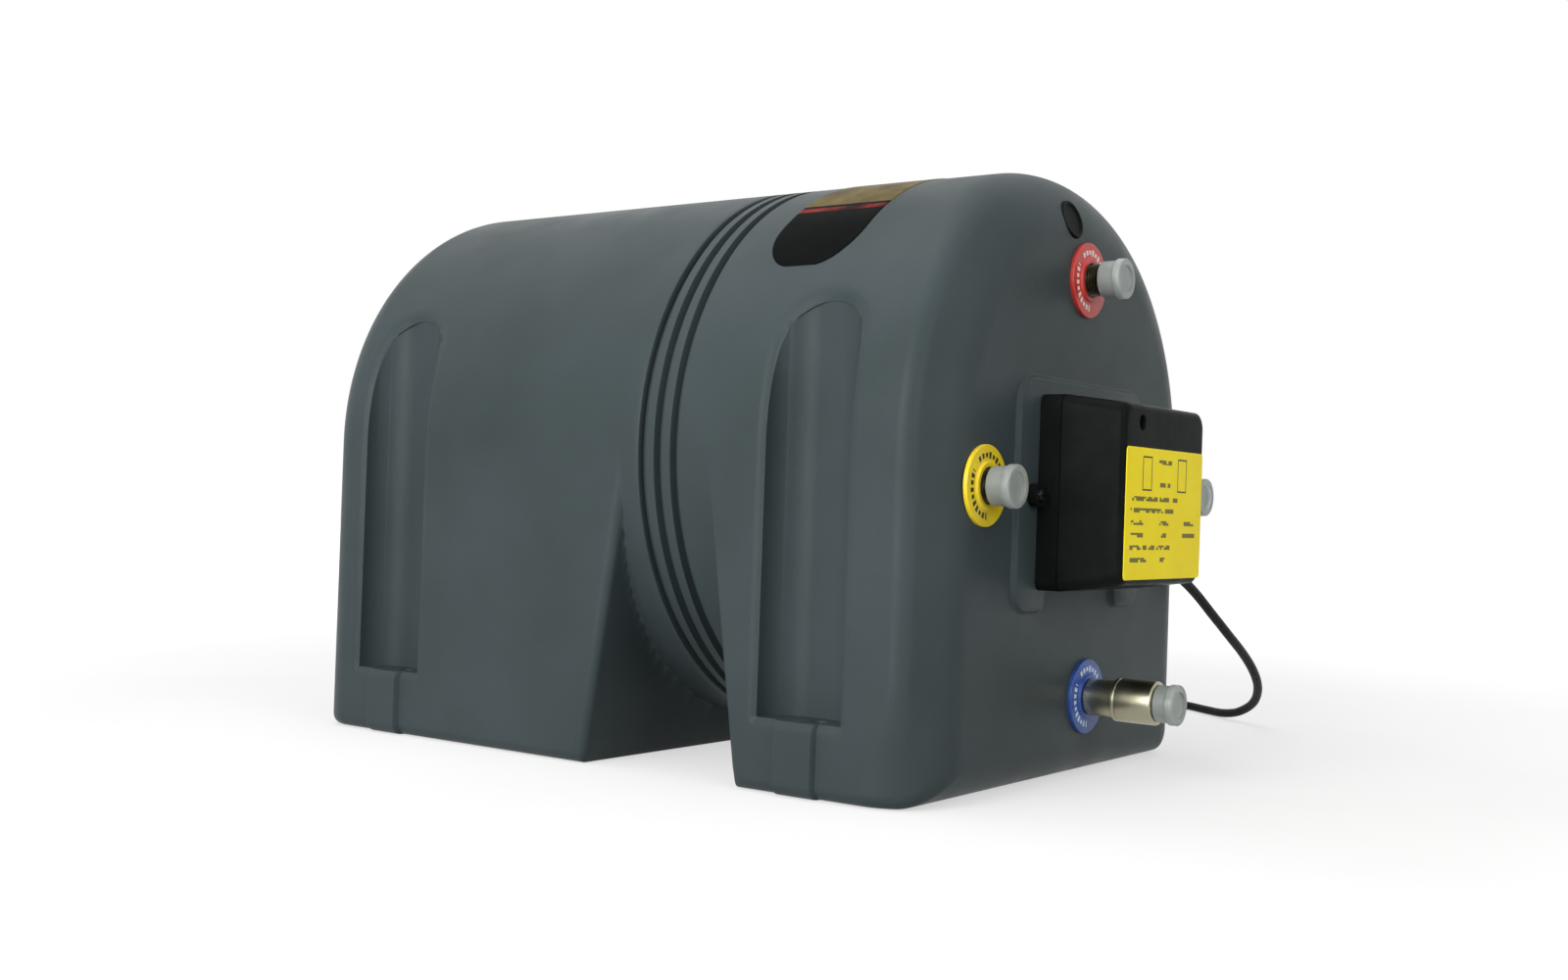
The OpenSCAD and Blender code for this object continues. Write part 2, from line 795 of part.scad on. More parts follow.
module flange_bolts() {
  color("#c9ccce") bolt_spots() {
    translate([0, flange_y, 0]) rotate([90, 0, 0]) cylinder(r = bolt_head_r, h = bolt_head_h, $fn = 6);
    rod(0, 0, bolt_r, flange_y - weld_fit, flange_y + bolt_l);
  }
}

module heating_element() {
  bend_y = front_y + rod_l;
  color("#8f7f6a") {
    for (s = [-1, 1]) {
      rod(s * rod_x, rod_z, rod_r, flange_y - pin_out / 2, bend_y);
      rod(s * rod_x, rod_z, rod_r / 2, flange_y - pin_out, flange_y);
    }
    translate([0, bend_y, rod_z]) rotate_extrude(angle = 180)
      translate([rod_x, 0]) circle(rod_r, $fn = 32);
  }
}

module thermostat_pocket() {
  end_y = gasket_y + pocket_l;
  color("#b9a06a") difference() {
    union() {
      rod(0, pocket_z, pocket_r, stat_y, end_y);
      rod(0, pocket_z, pocket_r + pocket_rim, stat_y, flange_y);
    }
    rod(0, pocket_z, pocket_r - pocket_wall, stat_y - overcut, end_y - 2 * pocket_wall);
  }
}

module anode() {
  color("#9a9c9a") {
    rod(0, anode_z, bolt_r, flange_y - bolt_head_h, gasket_y + anode_l / 2);
    rod(0, anode_z, anode_r, gasket_y + gasket_t, gasket_y + anode_l);
    rod(0, anode_z, bolt_head_r, flange_y - bolt_head_h, flange_y);
  }
}

module thermostat() {
  low = pocket_z - stat_h / 2;
  color("#d8d4c8") difference() {
    union() {
      translate([-stat_x, stat_front, low]) cube([2 * stat_x, stat_d, stat_h]);
      rod(0, pocket_z, pocket_r - pocket_wall - 2 * fit, stat_y - overcut, gasket_y + pocket_l / 2);
    }
    rod(-dial_x, pocket_z, dial_stem + run_fit, stat_front - overcut, stat_front + guide_d);
    rod(dial_x, pocket_z, button_r + run_fit, stat_front - overcut, stat_front + guide_d);
  }
}

module thermostat_dial() {
  color("#e9e6dc") difference() {
    union() {
      rod(-dial_x, pocket_z, dial_r, stat_front - weld_fit - dial_h, stat_front - weld_fit);
      rod(-dial_x, pocket_z, dial_stem, stat_front - dial_h, stat_front + guide_d - fit);
    }
    translate([-dial_x - overcut / 2, stat_front - 2 * dial_h, pocket_z])
      cube([overcut, dial_h + overcut, 2 * dial_r]);
  }
}

module reset_button() {
  color("#b3261e") rod(dial_x, pocket_z, button_r, stat_front - button_h, stat_front + guide_d - button_room);
}

// Path of the coolant coil: in at the left port, round the tank axis, back inside it to the right port
coil_r = coil_tube / 2;
coil_y0 = -tank_y + 46;
coil_steps = 24 * coil_turns;
function about(r, a, y) = [r * cos(a), y, tank_z + r * sin(a)];
function coil_point(i) = about(coil_ring, 180 + 360 * i / 24, coil_y0 + coil_l * i / coil_steps);
turn_y = coil_y0 + coil_l + 30;
cross_y = nipple_y + 1.6 * coil_tube;
coil_path = concat(
  curve([about(engine_x, 180, nipple_y), about(engine_x, 180, nipple_y + coil_tube),
    about(engine_x - 4, 183, nipple_y + 1.6 * coil_tube), about(coil_ring + 3, 172, coil_y0 - 5)], 3),
  [for (i = [1:coil_steps]) coil_point(i)],
  curve([about(coil_ring - 2, 192, coil_y0 + coil_l + 9), about(coil_ring - 16, 206, turn_y - 8),
    about(return_ring + 9, 224, turn_y), about(return_ring, 248, turn_y - 12),
    about(return_ring, 270, turn_y - 44), about(return_ring, 288, turn_y - 90)], 3),
  curve([about(return_ring, 304, turn_y - 130), about(return_ring, 324, turn_y - 180),
    about(return_ring, 340, cross_y + 50), about(return_ring + 4, 350, cross_y + 22),
    about(return_ring + 22, 356, cross_y + 3), about(engine_x - 18, 359, cross_y),
    about(engine_x - 2, 360, nipple_y + coil_tube), about(engine_x, 360, nipple_y)], 3));
coil_across = [for (p = coil_path) [p[0], 0, p[2] - tank_z]];

module engine_coil() {
  color("#c2c4c5") sweep(coil_path, coil_across, coil_r, 6);
}

module nipple(x, z, out) {
  color("#c9b06a") pipe(x, z, nipple_r, nipple_bore / 2, front_y - out, nipple_y);
}

module engine_port_left() {
  nipple(-engine_x, tank_z, left_out);
}

module engine_port_right() {
  nipple(engine_x, tank_z, right_out);
}

module hot_outlet() {
  nipple(0, hot_z, hot_out);
}

module cold_inlet() {
  nipple(cold_x, cold_z, cold_out);
}

// Pipe from the hot nipple with its mouth turned down into the hottest water
module hot_pickup() {
  r = nipple_bore / 2 - weld_fit;
  bend = 1.6 * r;
  color("#c2c4c5") {
    pipe(0, hot_z, r, r - tank_wall / 2, nipple_y - nipple_in, nipple_y + pickup_l);
    translate([0, nipple_y + pickup_l, hot_z - bend]) rotate([90, 0, 90])
      rotate_extrude(angle = 90) translate([bend, 0]) difference() {
        circle(r, $fn = 48);
        circle(r - tank_wall / 2, $fn = 48);
      }
    translate([0, nipple_y + pickup_l + bend, hot_z - bend - pickup_drop]) difference() {
      cylinder(r = r, h = pickup_drop, $fn = 48);
      translate([0, 0, -overcut]) cylinder(r = r - tank_wall / 2, h = pickup_drop + 2 * overcut, $fn = 48);
    }
  }
}

// Closed pipe along the bottom of the tank with a row of side holes
module cold_spreader() {
  r = nipple_bore / 2 - weld_fit;
  holes = 6;
  color("#c2c4c5") difference() {
    pipe(cold_x, cold_z, r, r - tank_wall / 2, nipple_y - nipple_in, nipple_y + spreader_l);
    for (i = [1:holes]) translate([cold_x - 2 * r, nipple_y + spreader_l * i / (holes + 1), cold_z])
      rotate([0, 90, 0]) cylinder(r = r / 3, h = 4 * r, $fn = 32);
  }
}

module valve_body() {
  color("#b5b09a") difference() {
    union() {
      rod(cold_x, cold_z, neck_r, ring_y - overcut, neck_y);
      rod(cold_x, cold_z, ring_r, barrel_y - overcut, ring_y);
      rod(cold_x, cold_z, barrel_r, spout_y, barrel_y);
      rod(cold_x, cold_z, nipple_r, mouth_y, spout_y + overcut);
    }
    rod(cold_x, cold_z, seat_r, mouth_y - overcut, seat_y + overcut);
    rod(cold_x, cold_z, chamber_r, seat_y, guide_y + overcut);
    rod(cold_x, cold_z, nipple_r + weld_fit, guide_y, neck_y + overcut);
  }
}

module valve_guide() {
  holes = 4;
  color("#d9d6cc") difference() {
    rod(cold_x, cold_z, nipple_r, guide_y, guide_y + guide_t);
    rod(cold_x, cold_z, stem_r + run_fit, guide_y - overcut, guide_y + guide_t + overcut);
    for (i = [0:holes - 1]) translate([cold_x, 0, cold_z]) rotate([0, 360 * i / holes, 0])
      rod(nipple_r * 0.62, 0, 2, guide_y - overcut, guide_y + guide_t + overcut);
  }
}

module valve_poppet() {
  color("#d9d6cc") {
    rod(cold_x, cold_z, poppet_r, poppet_y, poppet_y + poppet_t);
    rod(cold_x, cold_z, stem_r, poppet_y + poppet_t - weld_fit, guide_y + guide_t + stem_out);
  }
}

spring_y0 = poppet_y + poppet_t + spring_wire / 2 + weld_fit;
spring_y1 = guide_y - spring_wire / 2 - weld_fit;
spring_steps = 16 * spring_turns;
spring_path = [for (i = [0:spring_steps]) [cold_x + spring_r * cos(360 * i / 16),
  spring_y0 + (spring_y1 - spring_y0) * i / spring_steps, cold_z + spring_r * sin(360 * i / 16)]];
spring_across = [for (p = spring_path) [p[0] - cold_x, 0, p[2] - cold_z]];

module valve_spring() {
  color("#c9ccce") sweep(spring_path, spring_across, spring_wire / 2, 6);
}

module collar(x, z, shade) {
  color(shade) difference() {
    union() {
      rod(x, z, collar_r, front_y - collar_t, front_y - weld_fit);
      rod(x, z, hub_r, collar_y, front_y - weld_fit);
    }
    rod(x, z, nipple_r + cap_fit, -casing_l, front_y + overcut);
  }
}

module hot_collar() {
  collar(0, hot_z, "#b3202a");
}

module engine_collar_left() {
  collar(-engine_x, tank_z, "#d9bb2e");
}

module engine_collar_right() {
  collar(engine_x, tank_z, "#d9bb2e");
}

module cold_collar() {
  collar(cold_x, cold_z, "#2450a0");
}

// Pull-off cap over a thread that ends at y = tip, with its mouth at y = base
module cap(x, z, tip, base) {
  end_y = tip - 2 * cap_fit - cap_end;
  color("#d5d9d8") difference() {
    union() {
      rod(x, z, cap_d / 2, end_y, base);
      rod(x, z, cap_d / 2 + cap_rim, end_y, end_y + cap_rim_l);
    }
    rod(x, z, nipple_r + cap_fit, end_y + cap_end, base + overcut);
    rod(x, z, cap_d / 2 - 2 * cap_rim, end_y - overcut, end_y + cap_dish);
  }
}

module hot_cap() {
  cap(0, hot_z, front_y - hot_out, neck_y - hot_bare);
}

module engine_cap_left() {
  cap(-engine_x, tank_z, front_y - left_out, neck_y - engine_bare);
}

module engine_cap_right() {
  cap(engine_x, tank_z, front_y - right_out, neck_y - engine_bare);
}

module cold_cap() {
  cap(cold_x, cold_z, mouth_y, spout_y - cap_fit);
}

module filling_plug() {
  shank_r = plug_r - plug_d;
  color("#17191a") on_rounding() difference() {
    union() {
      rod(0, 0, plug_r, weld_fit, plug_d - weld_fit);
      rod(0, 0, shank_r, plug_d - 2 * weld_fit, 2 * casing_wall);
      rod(0, 0, shank_r + fit, casing_wall + 3 * fit, 1.5 * casing_wall);
    }
    rod(0, 0, shank_r - 1.5, plug_d, 3 * casing_wall);
    rod(0, 0, plug_r - 2, -overcut, plug_d / 3);
  }
}

module badge_plate() {
  color("#14171a") badge_form(arch_r - badge_d + weld_fit, arch_r - weld_fit, fit);
}

module tray_outline(g) {
  round_rect([-box_x + g, box_z0 + g], [box_x - g, box_z1 - g], max(box_r - g, 1));
}

module box_tray() {
  color("#1c1e1e") difference() {
    union() {
      along(tray_floor, tray_y) tray_outline(0);
      difference() {
        along(cover_y + weld_fit, tray_y) tray_outline(0);
        along(cover_y - overcut, tray_floor) tray_outline(tray_wall);
      }
      difference() {
        union() {
          along(cover_y, tray_floor) tray_outline(tray_wall - weld_fit);
          along(cover_y - tray_wall, tray_floor) tray_outline(tray_wall + fit);
        }
        along(-casing_l, tray_y) tray_outline(tray_wall + tray_lip);
      }
      for (s = [-1, 1]) {
        rod(s * lug_x, lug_z, lug_r, tray_y - lug_t, tray_y);
        along(tray_y - lug_t, tray_y) translate([s * (lug_x + box_x - overcut) / 2, lug_z])
          square([lug_x - box_x + overcut, 2 * lug_r], center = true);
      }
      rod(post_x, post_z, post_r, post_end, tray_y);
    }
    rod(0, tank_z, flange_r + pipe_fit, -casing_l, 0);
    for (s = [-1, 1]) rod(s * lug_x, lug_z, screw_r + screw_fit, -casing_l, 0);
    rod(post_x, post_z, screw_r + screw_fit, post_end - overcut, tray_floor);
    translate([0, gland_y, gland_z]) rotate([0, 90, 0])
      cylinder(r = gland_r - 1, h = casing_w, $fn = 48);
  }
}

// Pan-head screw along the length with its head towards -Y, seated at y
module case_screw(x, z, y, l) {
  rod(x, z, screw_head_r, y - screw_head_h, y);
  rod(x, z, screw_r, y - weld_fit, y + l);
}

module lug_screws() {
  color("#c9ccce") for (s = [-1, 1]) difference() {
    case_screw(s * lug_x, lug_z, tray_y - lug_t - weld_fit, lug_t + panel_t + casing_wall);
    translate([s * lug_x, tray_y - lug_t - screw_head_h, lug_z])
      cube([2 * screw_head_r, screw_head_h / 2, screw_head_r / 4], center = true);
  }
}

// Tapered form of the cover, shrunk by g at the sides
module cover_form(g, y0, y1) {
  d = cover_d;
  ends = 2 * overcut;
  sx = taper_x / d * ends;
  s0 = taper_z0 / d * ends;
  s1 = taper_z1 / d * ends;
  intersection() {
    along(y0, y1) tray_outline(g);
    linear_extrude(casing_h) polygon([[-box_x + g - sx, cover_y + ends],
      [box_x - g + sx, cover_y + ends], [box_x - g - taper_x - sx, cover_front - ends],
      [-box_x + g + taper_x + sx, cover_front - ends]]);
    across(-casing_w, casing_w) polygon([[cover_y + ends, box_z0 + g - s0],
      [cover_front - ends, box_z0 + g + taper_z0 + s0],
      [cover_front - ends, box_z1 - g - taper_z1 - s1], [cover_y + ends, box_z1 - g + s1]]);
  }
}

module box_cover() {
  color("#1c1e1e") difference() {
    union() {
      difference() {
        cover_form(0, cover_front, cover_y);
        cover_form(cover_wall, cover_front + cover_wall, cover_y + overcut);
      }
      rod(post_x, post_z, screw_head_r + 2 * cover_wall, cover_front + overcut, cup_y + cover_wall);
    }
    rod(post_x, post_z, screw_head_r + 2 * fit, cover_front - overcut, cup_y);
    rod(post_x, post_z, screw_r + screw_fit, cup_y - overcut, cup_y + 2 * cover_wall);
  }
}

module cover_screw() {
  color("#c9ccce") difference() {
    case_screw(post_x, post_z, cup_y - weld_fit, 3 * cup_d);
    translate([post_x, cup_y - screw_head_h, post_z])
      cube([2 * screw_head_r, screw_head_h / 2, screw_head_r / 4], center = true);
  }
}

module label_plate() {
  color("#e3cb1f") along(cover_front - label_t - weld_fit, cover_front - weld_fit)
    round_rect([-label_x, label_z0], [label_x, label_z1], 2);
}

module terminal_spots() {
  for (i = [0:block_n - 1]) translate([block_x + block_w / 2, tray_floor - block_d,
    block_z + block_l * (i + 0.5) / block_n]) children();
}

module terminal_block() {
  color("#e6e2d6") difference() {
    translate([block_x, tray_floor - block_d, block_z]) cube([block_w, block_d - weld_fit, block_l]);
    terminal_spots() {
      rod(0, 0, screw_r + 2 * fit, -overcut, block_d / 2);
      translate([-block_w, block_d / 2, -screw_r]) cube([2 * block_w, 2 * screw_r, 2 * screw_r]);
    }
  }
}

module terminal_screws() {
  color("#c4a35a") terminal_spots() rod(0, 0, screw_r, block_d / 5, block_d / 2 - fit);
}

// Short leads inside the box, from the terminals to the element pins and the thermostat
lead_r = 1.2;
lead_y = tray_floor - block_d / 2;
lead_paths = [
  [[block_x - 0.5, lead_y - screw_r, block_z + block_l * 0.125], [block_x - 6, lead_y - 6, block_z + 9],
    [34, lead_y - 12, block_z + 13], [26, flange_y - pin_out - 2, rod_z - 4],
    [20, flange_y - pin_out - 4, rod_z - 1], [rod_x, flange_y - pin_out - 0.6, rod_z]],
  [[block_x - 0.5, lead_y - screw_r, block_z + block_l * 0.375], [block_x - 5, lead_y - 7, block_z + 27],
    [36, lead_y - 13, block_z + 33], [28, stat_y - 8, pocket_z - 10],
    [stat_x + 3, stat_y - 9, pocket_z - 8], [stat_x + 0.4, stat_y - 9, pocket_z - 8]],
  [[-stat_x - 0.4, stat_y - 9, pocket_z - 8], [-stat_x - 5, stat_y - 9, pocket_z - 11],
    [-stat_x - 6, stat_y - 10, rod_z + 12], [-stat_x - 3, flange_y - pin_out - 4, rod_z + 4],
    [-rod_x - 1, flange_y - pin_out - 3, rod_z + 1], [-rod_x, flange_y - pin_out - 0.6, rod_z]]];

module box_leads() {
  color("#8a4b2a") for (p = lead_paths) {
    c = curve(p, 3);
    sweep(c, [for (i = c) [0.31, 0.2, 0.93]], lead_r, 6);
  }
}

module cable_gland() {
  neck = gland_r - 1 - weld_fit;
  inner = 4;
  color("#2a2d2d") translate([box_x, gland_y, gland_z]) rotate([0, 90, 0]) difference() {
    union() {
      translate([0, 0, weld_fit]) cylinder(r = gland_r, h = gland_l, $fn = 48);
      translate([0, 0, weld_fit])
        cylinder(r1 = gland_r - 0.8, r2 = cable_r + 0.7, h = boot_l, $fn = 48);
      translate([0, 0, -tray_wall - tray_lip - inner])
        cylinder(r = neck, h = inner + 2 * tray_wall, $fn = 48);
    }
    translate([0, 0, -boot_l]) cylinder(r = cable_r + weld_fit, h = 3 * boot_l, $fn = 48);
  }
}

// The cable hangs from the gland to the floor on the right and bends back to its coil
boot_end = box_x + boot_l + 0.5;
cable_points = [[box_x - 6, gland_y, gland_z], [box_x + 8, gland_y, gland_z],
  [boot_end, gland_y, gland_z], [boot_end + 11, gland_y, gland_z], [134, gland_y, 0.952 * gland_z],
  [169, gland_y, 0.855 * gland_z], [206, -264.8, 0.727 * gland_z],
  [243, -263.6, 0.605 * gland_z], [279, -261.4, 0.493 * gland_z], [311, -258, 0.386 * gland_z],
  [338, -252.6, 0.288 * gland_z], [359, -245, 0.208 * gland_z], [375, -236, 0.144 * gland_z],
  [388, -225, 13], [400, -211.5, 7.4], [413, -195, 4.4], [430, -174.5, 3.6], [447, -151, 3.6],
  [460, -124, 3.6], [467, -95, 3.6], [467, -65, 3.6], [461, -36, 3.6], [450.5, -9, 3.6],
  [437, 16, 3.6], [422.5, 39, 3.8], [408.5, 60, 4.3], [396.5, 78.5, wrap_z], [387, 94.5, wrap_z],
  [wrap_x + wrap_r + 2.4, wrap_y - 12, wrap_z], [wrap_x + wrap_r, wrap_y - 0.5, wrap_z]];
cable_path = curve(cable_points, 2);

module mains_cable() {
  color("#151718") sweep(cable_path, [for (p = cable_path) [0, 0.3, 1]], cable_r, 8);
}

// The coil spirals in below, climbs in the half turn where it reverses, and spirals out above
climb = 180;
function wrap_radius(a) = wrap_r - wrap_pitch * wrap_n + wrap_pitch * abs(a - wrap_turn) / 360;
function wrap_height(a) = let (t = max(0, min(1, (a - wrap_turn + climb / 2) / climb)))
  wrap_z + layer_z * t * t * (3 - 2 * t);
function wrap_point(a) = let (r = wrap_radius(a))
  [wrap_x + r * cos(a), wrap_y + r * sin(a), wrap_height(a)];
wrap_steps = 24 * 2 * wrap_n;
wrap_out = wrap_z + layer_z;
wrap_path = concat(
  [[wrap_x + wrap_r, wrap_y, wrap_z]],
  [for (i = [1:wrap_steps - 1]) wrap_point(2 * wrap_turn * i / wrap_steps)],
  [[wrap_x + wrap_r, wrap_y, wrap_out], [wrap_x + wrap_r, wrap_y + 12, wrap_out],
    [wrap_x + wrap_r, wrap_y + 24, wrap_out + 1.6], [wrap_x + wrap_r, wrap_y + 36, wrap_out + 4.4],
    [wrap_x + wrap_r, wrap_y + 47, plug_z], [wrap_x + wrap_r, tail_y, plug_z]]);
wrap_gap = min([for (i = [0:wrap_steps], j = [i + 6:1:wrap_steps])
  norm(wrap_path[i] - wrap_path[j])]) - cable_d;
echo(least_gap_between_cable_loops = wrap_gap);

module cable_coil() {
  color("#151718") sweep(wrap_path, [for (p = wrap_path) [0, 0, 1]], cable_r, 6);
}

module coil_tie() {
  strap_t = 1;
  strap_w = 6;
  r0 = wrap_r - wrap_pitch * (wrap_n - 0.5) - cable_r - fit;
  r1 = wrap_r - wrap_pitch / 2 + cable_r + fit;
  h = wrap_out + cable_r + fit;
  color("#202223") translate([wrap_x, wrap_y - strap_w / 2, 0]) difference() {
    translate([-r1 - strap_t, 0, lift - strap_t - fit])
      cube([r1 - r0 + 2 * strap_t, strap_w, h - lift + 2 * strap_t + fit]);
    translate([-r1, -overcut, lift - fit]) cube([r1 - r0, strap_w + 2 * overcut, h - lift + fit]);
  }
}

module mains_plug() {
  x = wrap_x + wrap_r;
  face_y = plug_y + plug_body_l;
  color("#17191a") {
    difference() {
      union() {
        translate([x, tail_y + weld_fit, plug_z]) rotate([-90, 0, 0])
          cylinder(r1 = cable_r + 2.5, r2 = plug_body_r * 0.62, h = plug_neck_l + overcut);
        rod(x, plug_z, plug_body_r, plug_y, plug_y + plug_body_l);
      }
      for (s = [-1, 1]) translate([x + s * plug_body_r, plug_y + plug_body_l / 2, plug_z])
        cube([plug_body_r / 4, plug_body_l + 2 * overcut, plug_body_r / 3], center = true);
    }
    for (s = [-1, 1]) rod(x + s * pin_pitch / 2, plug_z, pin_r, face_y - overcut, face_y + pin_l);
  }
}

rear_shell();
front_shell();
insulation();
tank_barrel();
tank_front_dome();
tank_rear_dome();
element_boss();
flange_gasket();
element_flange();
flange_bolts();
heating_element();
thermostat_pocket();
anode();
thermostat();
thermostat_dial();
reset_button();
engine_coil();
engine_port_left();
engine_port_right();
hot_outlet();
hot_pickup();
cold_inlet();
cold_spreader();
valve_body();
valve_guide();
valve_poppet();
valve_spring();
hot_collar();
engine_collar_left();
engine_collar_right();
cold_collar();
hot_cap();
engine_cap_left();
engine_cap_right();
cold_cap();
filling_plug();
badge_plate();
box_tray();
lug_screws();
box_cover();
cover_screw();
label_plate();
terminal_block();
terminal_screws();
box_leads();
cable_gland();
mains_cable();
cable_coil();
coil_tie();
mains_plug();
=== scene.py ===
import math

import bmesh
import bpy
import numpy as np
from mathutils import Matrix, Vector


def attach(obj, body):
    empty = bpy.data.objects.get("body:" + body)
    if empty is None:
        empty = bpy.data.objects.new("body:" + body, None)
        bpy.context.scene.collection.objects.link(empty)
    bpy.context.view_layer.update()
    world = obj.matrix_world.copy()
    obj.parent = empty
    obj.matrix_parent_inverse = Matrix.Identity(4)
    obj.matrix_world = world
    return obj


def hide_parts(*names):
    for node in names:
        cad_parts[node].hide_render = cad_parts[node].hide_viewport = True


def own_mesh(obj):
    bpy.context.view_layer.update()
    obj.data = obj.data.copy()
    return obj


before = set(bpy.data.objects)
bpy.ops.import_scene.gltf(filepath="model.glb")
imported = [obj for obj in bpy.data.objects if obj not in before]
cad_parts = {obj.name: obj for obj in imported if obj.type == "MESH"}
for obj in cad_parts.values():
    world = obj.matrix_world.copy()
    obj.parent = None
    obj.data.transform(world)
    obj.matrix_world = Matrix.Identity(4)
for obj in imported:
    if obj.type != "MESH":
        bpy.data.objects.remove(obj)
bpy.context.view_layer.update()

MM = 0.001
CIRCLE = 2 * math.pi
scene = bpy.context.scene
scene.view_settings.view_transform = "Standard"

# Camera
CAMERA_SPOT = (-0.98651, -0.73347, 0.17001)  # metres
CAMERA_YAW = 54.186  # degrees, from straight back towards the right
CAMERA_PITCH = 0.491
CAMERA_ROLL = 2.008
LENS = 38.7457
SENSOR = 36.0
NEAREST = 0.02  # metres


def place_camera():
    """Camera at the photograph's viewpoint, solved from the outline of the casing.

    Yaw and pitch give the way ahead, and roll turns the ways right and up about it."""
    yaw, pitch, roll = np.radians([CAMERA_YAW, CAMERA_PITCH, CAMERA_ROLL])
    ahead = np.array([math.sin(yaw) * math.cos(pitch), math.cos(yaw) * math.cos(pitch), math.sin(pitch)])
    level = np.array([math.cos(yaw), -math.sin(yaw), 0.0])
    upward = np.cross(level, ahead)
    right = math.cos(roll) * level + math.sin(roll) * upward
    up = math.cos(roll) * upward - math.sin(roll) * level
    data = bpy.data.cameras.new("photo_camera")
    data.sensor_fit = "HORIZONTAL"
    data.sensor_width = SENSOR
    data.lens = LENS
    data.clip_start = NEAREST
    camera = bpy.data.objects.new("photo_camera", data)
    place = np.eye(4)
    place[:3] = np.stack([right, up, -ahead, CAMERA_SPOT], -1)
    camera.matrix_world = Matrix(place.tolist())
    scene.collection.objects.link(camera)
    scene.camera = camera


place_camera()

# Shader tools
TONE_EDGES = (0.32, 0.68)  # noise values where one tone begins to turn into the other, and has done so
SHEEN_EDGES = (0.3, 0.7)  # the same for the roughness
SHEEN_FINER = 2.7  # patches of roughness are this many times smaller than those of tone
BUMP_REACH = 0.4


def colour(code):
    """Linear RGBA of an sRGB hex code: the sRGB curve undone for red, green and blue."""
    parts = [int(code[i:i + 2], 16) / 255 for i in (0, 2, 4)]
    return tuple(v / 12.92 if v <= 0.04045 else ((v + 0.055) / 1.055) ** 2.4 for v in parts) + (1.0,)


def add(tree, kind, inputs, **settings):
    """Adds one shader node with its settings.

    inputs gives each socket a value, or what feeds it: an output of another node, or a node, which
    then feeds it from its first output. A Mix node has its colours at inputs 6 and 7 and output 2."""
    node = tree.nodes.new("ShaderNode" + kind)
    for key, value in settings.items():
        setattr(node, key, value)
    for key, value in inputs.items():
        feed = value.outputs[0] if isinstance(value, bpy.types.Node) else value
        if isinstance(feed, bpy.types.NodeSocket):
            tree.links.new(feed, node.inputs[key])
        else:
            node.inputs[key].default_value = feed
    return node


def finish(name, tones, patch, rough, grain, depth, sockets=None):
    """Start of every material: two tones in soft patches, a drifting roughness, and a grain as bump.

    patch is the width of a patch of tone in millimetres. The roughness drifts between the two values of
    rough. grain is the width of a grain in millimetres, one number or one for each axis, and depth is
    the strength of its bump. sockets holds what is the same all over, for the shader's own sockets."""
    mat = bpy.data.materials.new(name)
    mat.use_nodes = True
    tree = mat.node_tree
    shader = tree.nodes["Principled BSDF"]
    where = add(tree, "TexCoord", {}).outputs["Object"]
    patches = add(tree, "TexNoise", {"Vector": where, "Scale": 1 / (patch * MM), "Detail": 5.0})
    share = add(tree, "MapRange", {"Value": patches, "From Min": TONE_EDGES[0], "From Max": TONE_EDGES[1]})
    tone = add(tree, "Mix", {0: share, 6: colour(tones[0]), 7: colour(tones[1])}, data_type="RGBA")
    tree.links.new(tone.outputs[2], shader.inputs["Base Color"])
    drift = add(tree, "TexNoise", {"Vector": where, "Scale": SHEEN_FINER / (patch * MM), "Detail": 3.0})
    sheen = add(tree, "MapRange", {"Value": drift, "From Min": SHEEN_EDGES[0], "From Max": SHEEN_EDGES[1],
                                   "To Min": rough[0], "To Max": rough[1]})
    tree.links.new(sheen.outputs[0], shader.inputs["Roughness"])
    grains = (1 / (np.broadcast_to(grain, 3) * MM)).tolist()
    fine = add(tree, "VectorMath", {0: where, 1: grains}, operation="MULTIPLY")
    height = add(tree, "TexNoise", {"Vector": fine, "Scale": 1.0, "Detail": 3.0})
    bump = add(tree, "Bump", {"Height": height, "Strength": depth, "Distance": BUMP_REACH * MM})
    tree.links.new(bump.outputs[0], shader.inputs["Normal"])
    for key, value in (sockets or {}).items():
        shader.inputs[key].default_value = value
    return mat


def parts_of(mat):
    tree = mat.node_tree
    shader = tree.nodes["Principled BSDF"]
    where = next(n for n in tree.nodes if n.type == "TEX_COORD").outputs["Object"]
    return tree, shader, where, shader.inputs["Base Color"].links[0].from_socket


# Materials. The real textures of moulds, dies and tools are a tenth or two of a millimetre wide, too
# fine to show, so each grain below is drawn as coarse as it needs to show: half a millimetre and more.
METAL = {"Metallic": 1.0}
LATHE_MARKS = (33.3, 0.667, 33.3)  # rings across the pipes' line along y
ROLLING_MARKS = (1.11, 25.0, 1.11)  # streaks along the tank

# Polypropylene, moulded: satin grey green with the grain of the mould and faint clouds from the flow
casing_plastic = finish("moulded_polypropylene", ("343d3e", "3c4547"), patch=111.0, rough=(0.34, 0.44),
                        grain=0.667, depth=0.40, sockets={"Specular IOR Level": 0.09})
# ABS, moulded in fine-grained moulds: deep black with hardly any shine
box_plastic = finish("moulded_abs", ("101212", "171919"), patch=25.0, rough=(0.26, 0.38),
                     grain=0.455, depth=0.10, sockets={"Specular IOR Level": 0.02})
# Soft PVC, extruded as a sheath: black with a slight sheen along the lead
sheath_plastic = finish("extruded_pvc", ("101213", "191b1c"), patch=16.7, rough=(0.38, 0.50),
                        grain=1.11, depth=0.10, sockets={"Specular IOR Level": 0.05})
# Polyethylene, moulded thin: milky, lets the thread show through, waxy shine
cap_plastic = finish("moulded_polyethylene", ("bcc4c0", "cdd3d0"), patch=11.1, rough=(0.30, 0.42),
                     grain=1.43, depth=0.08, sockets={"Transmission Weight": 0.7, "IOR": 1.45})
